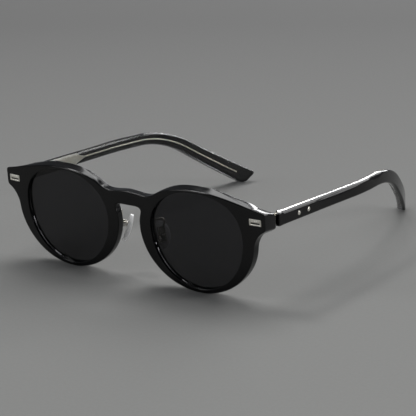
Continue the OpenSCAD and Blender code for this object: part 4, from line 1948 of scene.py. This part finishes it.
    def layer(
        self,
        name: str,
        start: float,
        top: float,
        bottom: float,
        rounds: Sequence[Rounding],
        face_out: bool,
    ) -> bpy.types.Object:
        """Builds one layer of the temple.

        Args:
            name: name of the piece.
            start: length along the path where it begins.
            top: depth of its outer face.
            bottom: depth of its inner face.
            rounds: how its edges are rounded.
            face_out: True rounds the outer face's edges, False the inner face's.

        Returns:
            The object.
        """
        fine, even = 0.3, 0.4
        loop = resample(soften(resample(self.outline(start), fine), 6), even)
        reach, deep = self.edges(loop, rounds)
        turns, wider, back = [math.radians(90 * k / 8) for k in range(9)], 1.1, 0.1
        if face_out:
            rows = [(reach * (1 - math.sin(a)), top + deep * (1 - math.cos(a))) for a in turns]
            rows = [(wider * reach, top), *rows, (0.0, bottom), (back, bottom)]
        else:
            rows = [(reach * (1 - math.cos(a)), bottom - deep * (1 - math.sin(a))) for a in turns]
            rows = [(back, top), (0.0, top), *rows, (wider * reach, bottom)]
        plate = Plate(loop, rows, level(bottom), level(top), spacing=1.3)
        return plate.meshed().write(name, self.place, self.side)

    def build(self, row: NodeShape, flat_wire: NodeShape) -> None:
        """Builds the temple's pieces.

        Args:
            row: the tree that repeats a piece along a row.
            flat_wire: the tree that sweeps a flat wire.
        """
        word, p = self.side.word, self.palette
        name = f"{word}_temple_black"
        black = self.layer(name, self.start, 0.0, self.outer, self.black_rounds, True)
        p.wear(black, p.black, "black_acetate", self.body, f"{word}_temple_outer")
        name, top = f"{word}_temple_clear", self.outer - self.lap
        clear = self.layer(name, self.mouth, top, self.thick, self.clear_rounds, False)
        p.wear(clear, p.clear, "clear_acetate", self.body, f"{word}_temple_inner")
        self.wire(flat_wire)
        self.rivets(row)

    def wire(self, flat_wire: NodeShape) -> None:
        """Builds the cream core wire inside the clear layer, from the blade nearly to the tip.

        Args:
            flat_wire: the tree that sweeps a flat wire.
        """
        end = self.bend_end + self.heel_run() - self.wire_short
        step = 1.5
        marks = np.concatenate([np.arange(self.blade_end, end, step), [end]])
        depth = self.wire_depth + self.wire_t / 2
        points = np.array([[self.path(s)[0], depth, self.path(s)[1]] for s in marks])
        co = self.place(points)
        co[:, 0] *= self.side.value
        word = self.side.word
        obj = flat_wire.run(
            line_object(f"{word}_wire", co),
            self.palette.core,
            Thickness=self.wire_t * MM,
            Height=self.wire_h * MM,
            Corner=self.wire_corner * MM,
        )
        self.palette.wear(obj, self.palette.core, "core_metal", self.body, f"{word}_core_wire")

    def rivets(self, row: NodeShape) -> None:
        """Builds the two rivets: domed heads on shanks, repeated along the path.

        Args:
            row: the tree that repeats a piece along a row.
        """
        r, proud, shank, end = self.rivet_r, self.rivet_proud, self.shank_r, self.shank_end
        turns = [math.radians(a) for a in (80, 60, 40, 20, 8)]
        dome = [(r * math.cos(a), -proud * math.sin(a)) for a in turns]
        profile = [(0, -proud), *dome, (r, 0.0), (shank, 0.0), (shank, end), (0, end)]
        points, faces = lathe(profile, 32)
        at = self.path(self.rivet_at)
        mesher = Mesher()
        mesher.add(np.stack([at[0] + points[:, 0], points[:, 2], at[1] + points[:, 1]], 1), faces)
        word = self.side.word
        one = mesher.write(f"{word}_rivet_heads", self.place, self.side)
        y, z = (self.path(self.rivet_at + self.rivet_pitch) - at) * MM
        obj = row.run(one, self.palette.plaque, Count=2, Step=(0.0, y, z))
        node = f"{word}_temple_rivets"
        self.palette.wear(obj, self.palette.plaque, "plaque_metal", self.body, node)


# The fittings taken over from the solids


@dataclass(frozen=True)
class Fitting:
    """A small fitting taken over from the solids, its edges broken.

    Attributes:
        node: the node that it is taken from.
        slot: its material slot in the record.
        edge: width of its broken edges.
        sharp: degrees over which an edge is broken.
    """

    node: str
    slot: str
    edge: float
    sharp: float = 40.0

    def build(self, palette: Palette, material: bpy.types.Material, body: str) -> None:
        """Copies the node's shape, breaks its edges and dresses it.

        Args:
            palette: the finishes.
            material: what it is made of.
            body: the body it rides on.
        """
        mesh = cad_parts[self.node].data.copy()
        work = bmesh.new()
        work.from_mesh(mesh)
        bmesh.ops.remove_doubles(work, verts=work.verts, dist=1e-6)
        flat = math.radians(1.0)
        bmesh.ops.dissolve_limit(work, angle_limit=flat, verts=work.verts, edges=work.edges)
        work.to_mesh(mesh)
        work.free()
        obj = link_piece(f"{self.node}_fitted", mesh)
        bevel = obj.modifiers.new("edge", "BEVEL")
        bevel.width = self.edge * MM
        bevel.segments = 2
        bevel.limit_method = "ANGLE"
        bevel.angle_limit = math.radians(self.sharp)
        palette.wear(obj, material, self.slot, body, self.node)


def fit_side(palette: Palette, side: Side) -> None:
    """Builds one side's hinge, screws, pad arm and nose pad.

    Args:
        palette: the finishes.
        side: which side.
    """
    temple, pad = f"{side.word}_temple", f"{side.word}_pad"
    fittings = (
        ("front_hinge", "hinge_metal", 0.12, palette.hinge, "front"),
        ("hinge_screw", "screw_metal", 0.06, palette.screw, "front"),
        ("temple_hinge", "hinge_metal", 0.12, palette.hinge, temple),
        ("pad_arm", "pad_metal", 0.08, palette.arm, "front"),
        ("pad_screw", "screw_metal", 0.05, palette.screw, "front"),
        ("pad_core", "pad_metal", 0.06, palette.arm, pad),
        ("nose_pad", "clear_silicone", 0.4, palette.silicone, pad),
    )
    for piece, slot, edge, material, body in fittings:
        Fitting(f"{side.word}_{piece}", slot, edge).build(palette, material, body)


# The studio


@dataclass(frozen=True)
class Softbox:
    """A rectangular lamp that points at the glasses.

    Left and right in the lamps' names are those of someone who faces the front.

    Attributes:
        name: its name.
        turn: degrees that it hangs to the left (-X) of straight behind the glasses.
        rise: degrees that it hangs above the floor.
        size: its width and height in metres.
        glow: how bright its face is.
        far: its distance in metres.
    """

    name: str
    turn: float
    rise: float
    size: tuple[float, float]
    glow: float
    far: float = 1.8

    def hang(self) -> None:
        """Hangs the lamp."""
        t, e = math.radians(self.turn), math.radians(self.rise)
        way = Vector((-math.sin(t) * math.cos(e), math.cos(t) * math.cos(e), math.sin(e)))
        data = bpy.data.lights.new(self.name, "AREA")
        data.shape = "RECTANGLE"
        data.size, data.size_y = self.size
        data.energy = self.glow * math.pi * self.size[0] * self.size[1]
        obj = link_object(self.name, data)
        obj.location = self.far * way
        target = Vector((0, 0, 0.02))
        obj.rotation_euler = (target - self.far * way).to_track_quat("-Z", "Y").to_euler()


@dataclass
class Studio:
    """Floor, lamps and camera. The camera stands where the photograph was taken from.

    Attributes:
        eye: where the camera stands, in metres.
        azimuth, elevation, roll: how it is turned, in degrees.
        lens: its focal length for a 36 mm sensor.
        floor_half: half the width of the floor in metres.
        sky: colour of the dim light from all round.
        lamps: the lamps.
    """

    eye: tuple[float, float, float] = (0.5448, -0.70201, 0.2897)
    azimuth: float = 38.54
    elevation: float = 17.29
    roll: float = -2.77
    lens: float = 173.86
    floor_half: float = 6.0
    sky: Colour = (0.12, 0.126, 0.135)
    lamps: tuple[Softbox, ...] = (
        Softbox("window_low", 22, 12, (1.07, 0.27), 6.8),
        Softbox("window_high", -9, 36, (1.9, 0.68), 2.7),
        Softbox("window_right", -40, 16, (0.5, 0.4), 3.0),
        Softbox("window_left", 32, 61, (0.9, 0.9), 5.3),
        Softbox("edge_left", 82, 57, (0.3, 0.3), 18.0),
        Softbox("key_left", 138, 28, (0.45, 0.4), 6.0),
        Softbox("strip_right", -66, 16, (0.4, 0.4), 14.0),
    )

    def camera(self) -> None:
        """Makes the camera and gives it to the scene."""
        az, el, ro = (math.radians(a) for a in (self.azimuth, self.elevation, self.roll))
        back = Vector((math.sin(az) * math.cos(el), -math.cos(az) * math.cos(el), math.sin(el)))
        right = Vector((math.cos(az), math.sin(az), 0))
        up = back.cross(right)
        rolled_right = math.cos(ro) * right + math.sin(ro) * up
        rolled_up = -math.sin(ro) * right + math.cos(ro) * up
        data = bpy.data.cameras.new("view")
        data.sensor_width = 36.0
        data.lens = self.lens
        data.clip_start = 0.01
        turn = Matrix((rolled_right, rolled_up, back)).transposed().to_4x4()
        turn.translation = Vector(self.eye)
        obj = link_object("view", data)
        obj.matrix_world = turn
        bpy.context.scene.camera = obj

    def floor(self) -> None:
        """Lays the paper that everything stands on."""
        mesh = bpy.data.meshes.new("paper_floor")
        e = self.floor_half
        mesh.from_pydata([(-e, -e, 0), (e, -e, 0), (e, e, 0), (-e, e, 0)], [], [(0, 1, 2, 3)])
        mesh.materials.append(StudioPaper().build())
        obj = link_object("paper_floor", mesh)

    def build(self) -> None:
        """Sets up everything that isn't part of the glasses."""
        scene = bpy.context.scene
        scene.view_settings.view_transform = "Standard"
        world = bpy.data.worlds.new("studio")
        world.use_nodes = True
        world.node_tree.nodes["Background"].inputs["Color"].default_value = (*self.sky, 1)
        scene.world = world
        self.floor()
        self.camera()
        for lamp in self.lamps:
            lamp.hang()


def main() -> None:
    """Builds the studio and the glasses, piece by piece."""
    logging.basicConfig(level=logging.INFO, format="%(name)s: %(message)s")
    Studio().build()
    stance, palette = Stance(), Palette()
    Front(stance, palette).build()
    row, flat_wire = row_shape(), flat_wire_shape()
    for side in Side:
        Temple(side, stance, palette).build(row, flat_wire)
        fit_side(palette, side)


if __name__ == "__main__":
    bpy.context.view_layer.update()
    main()
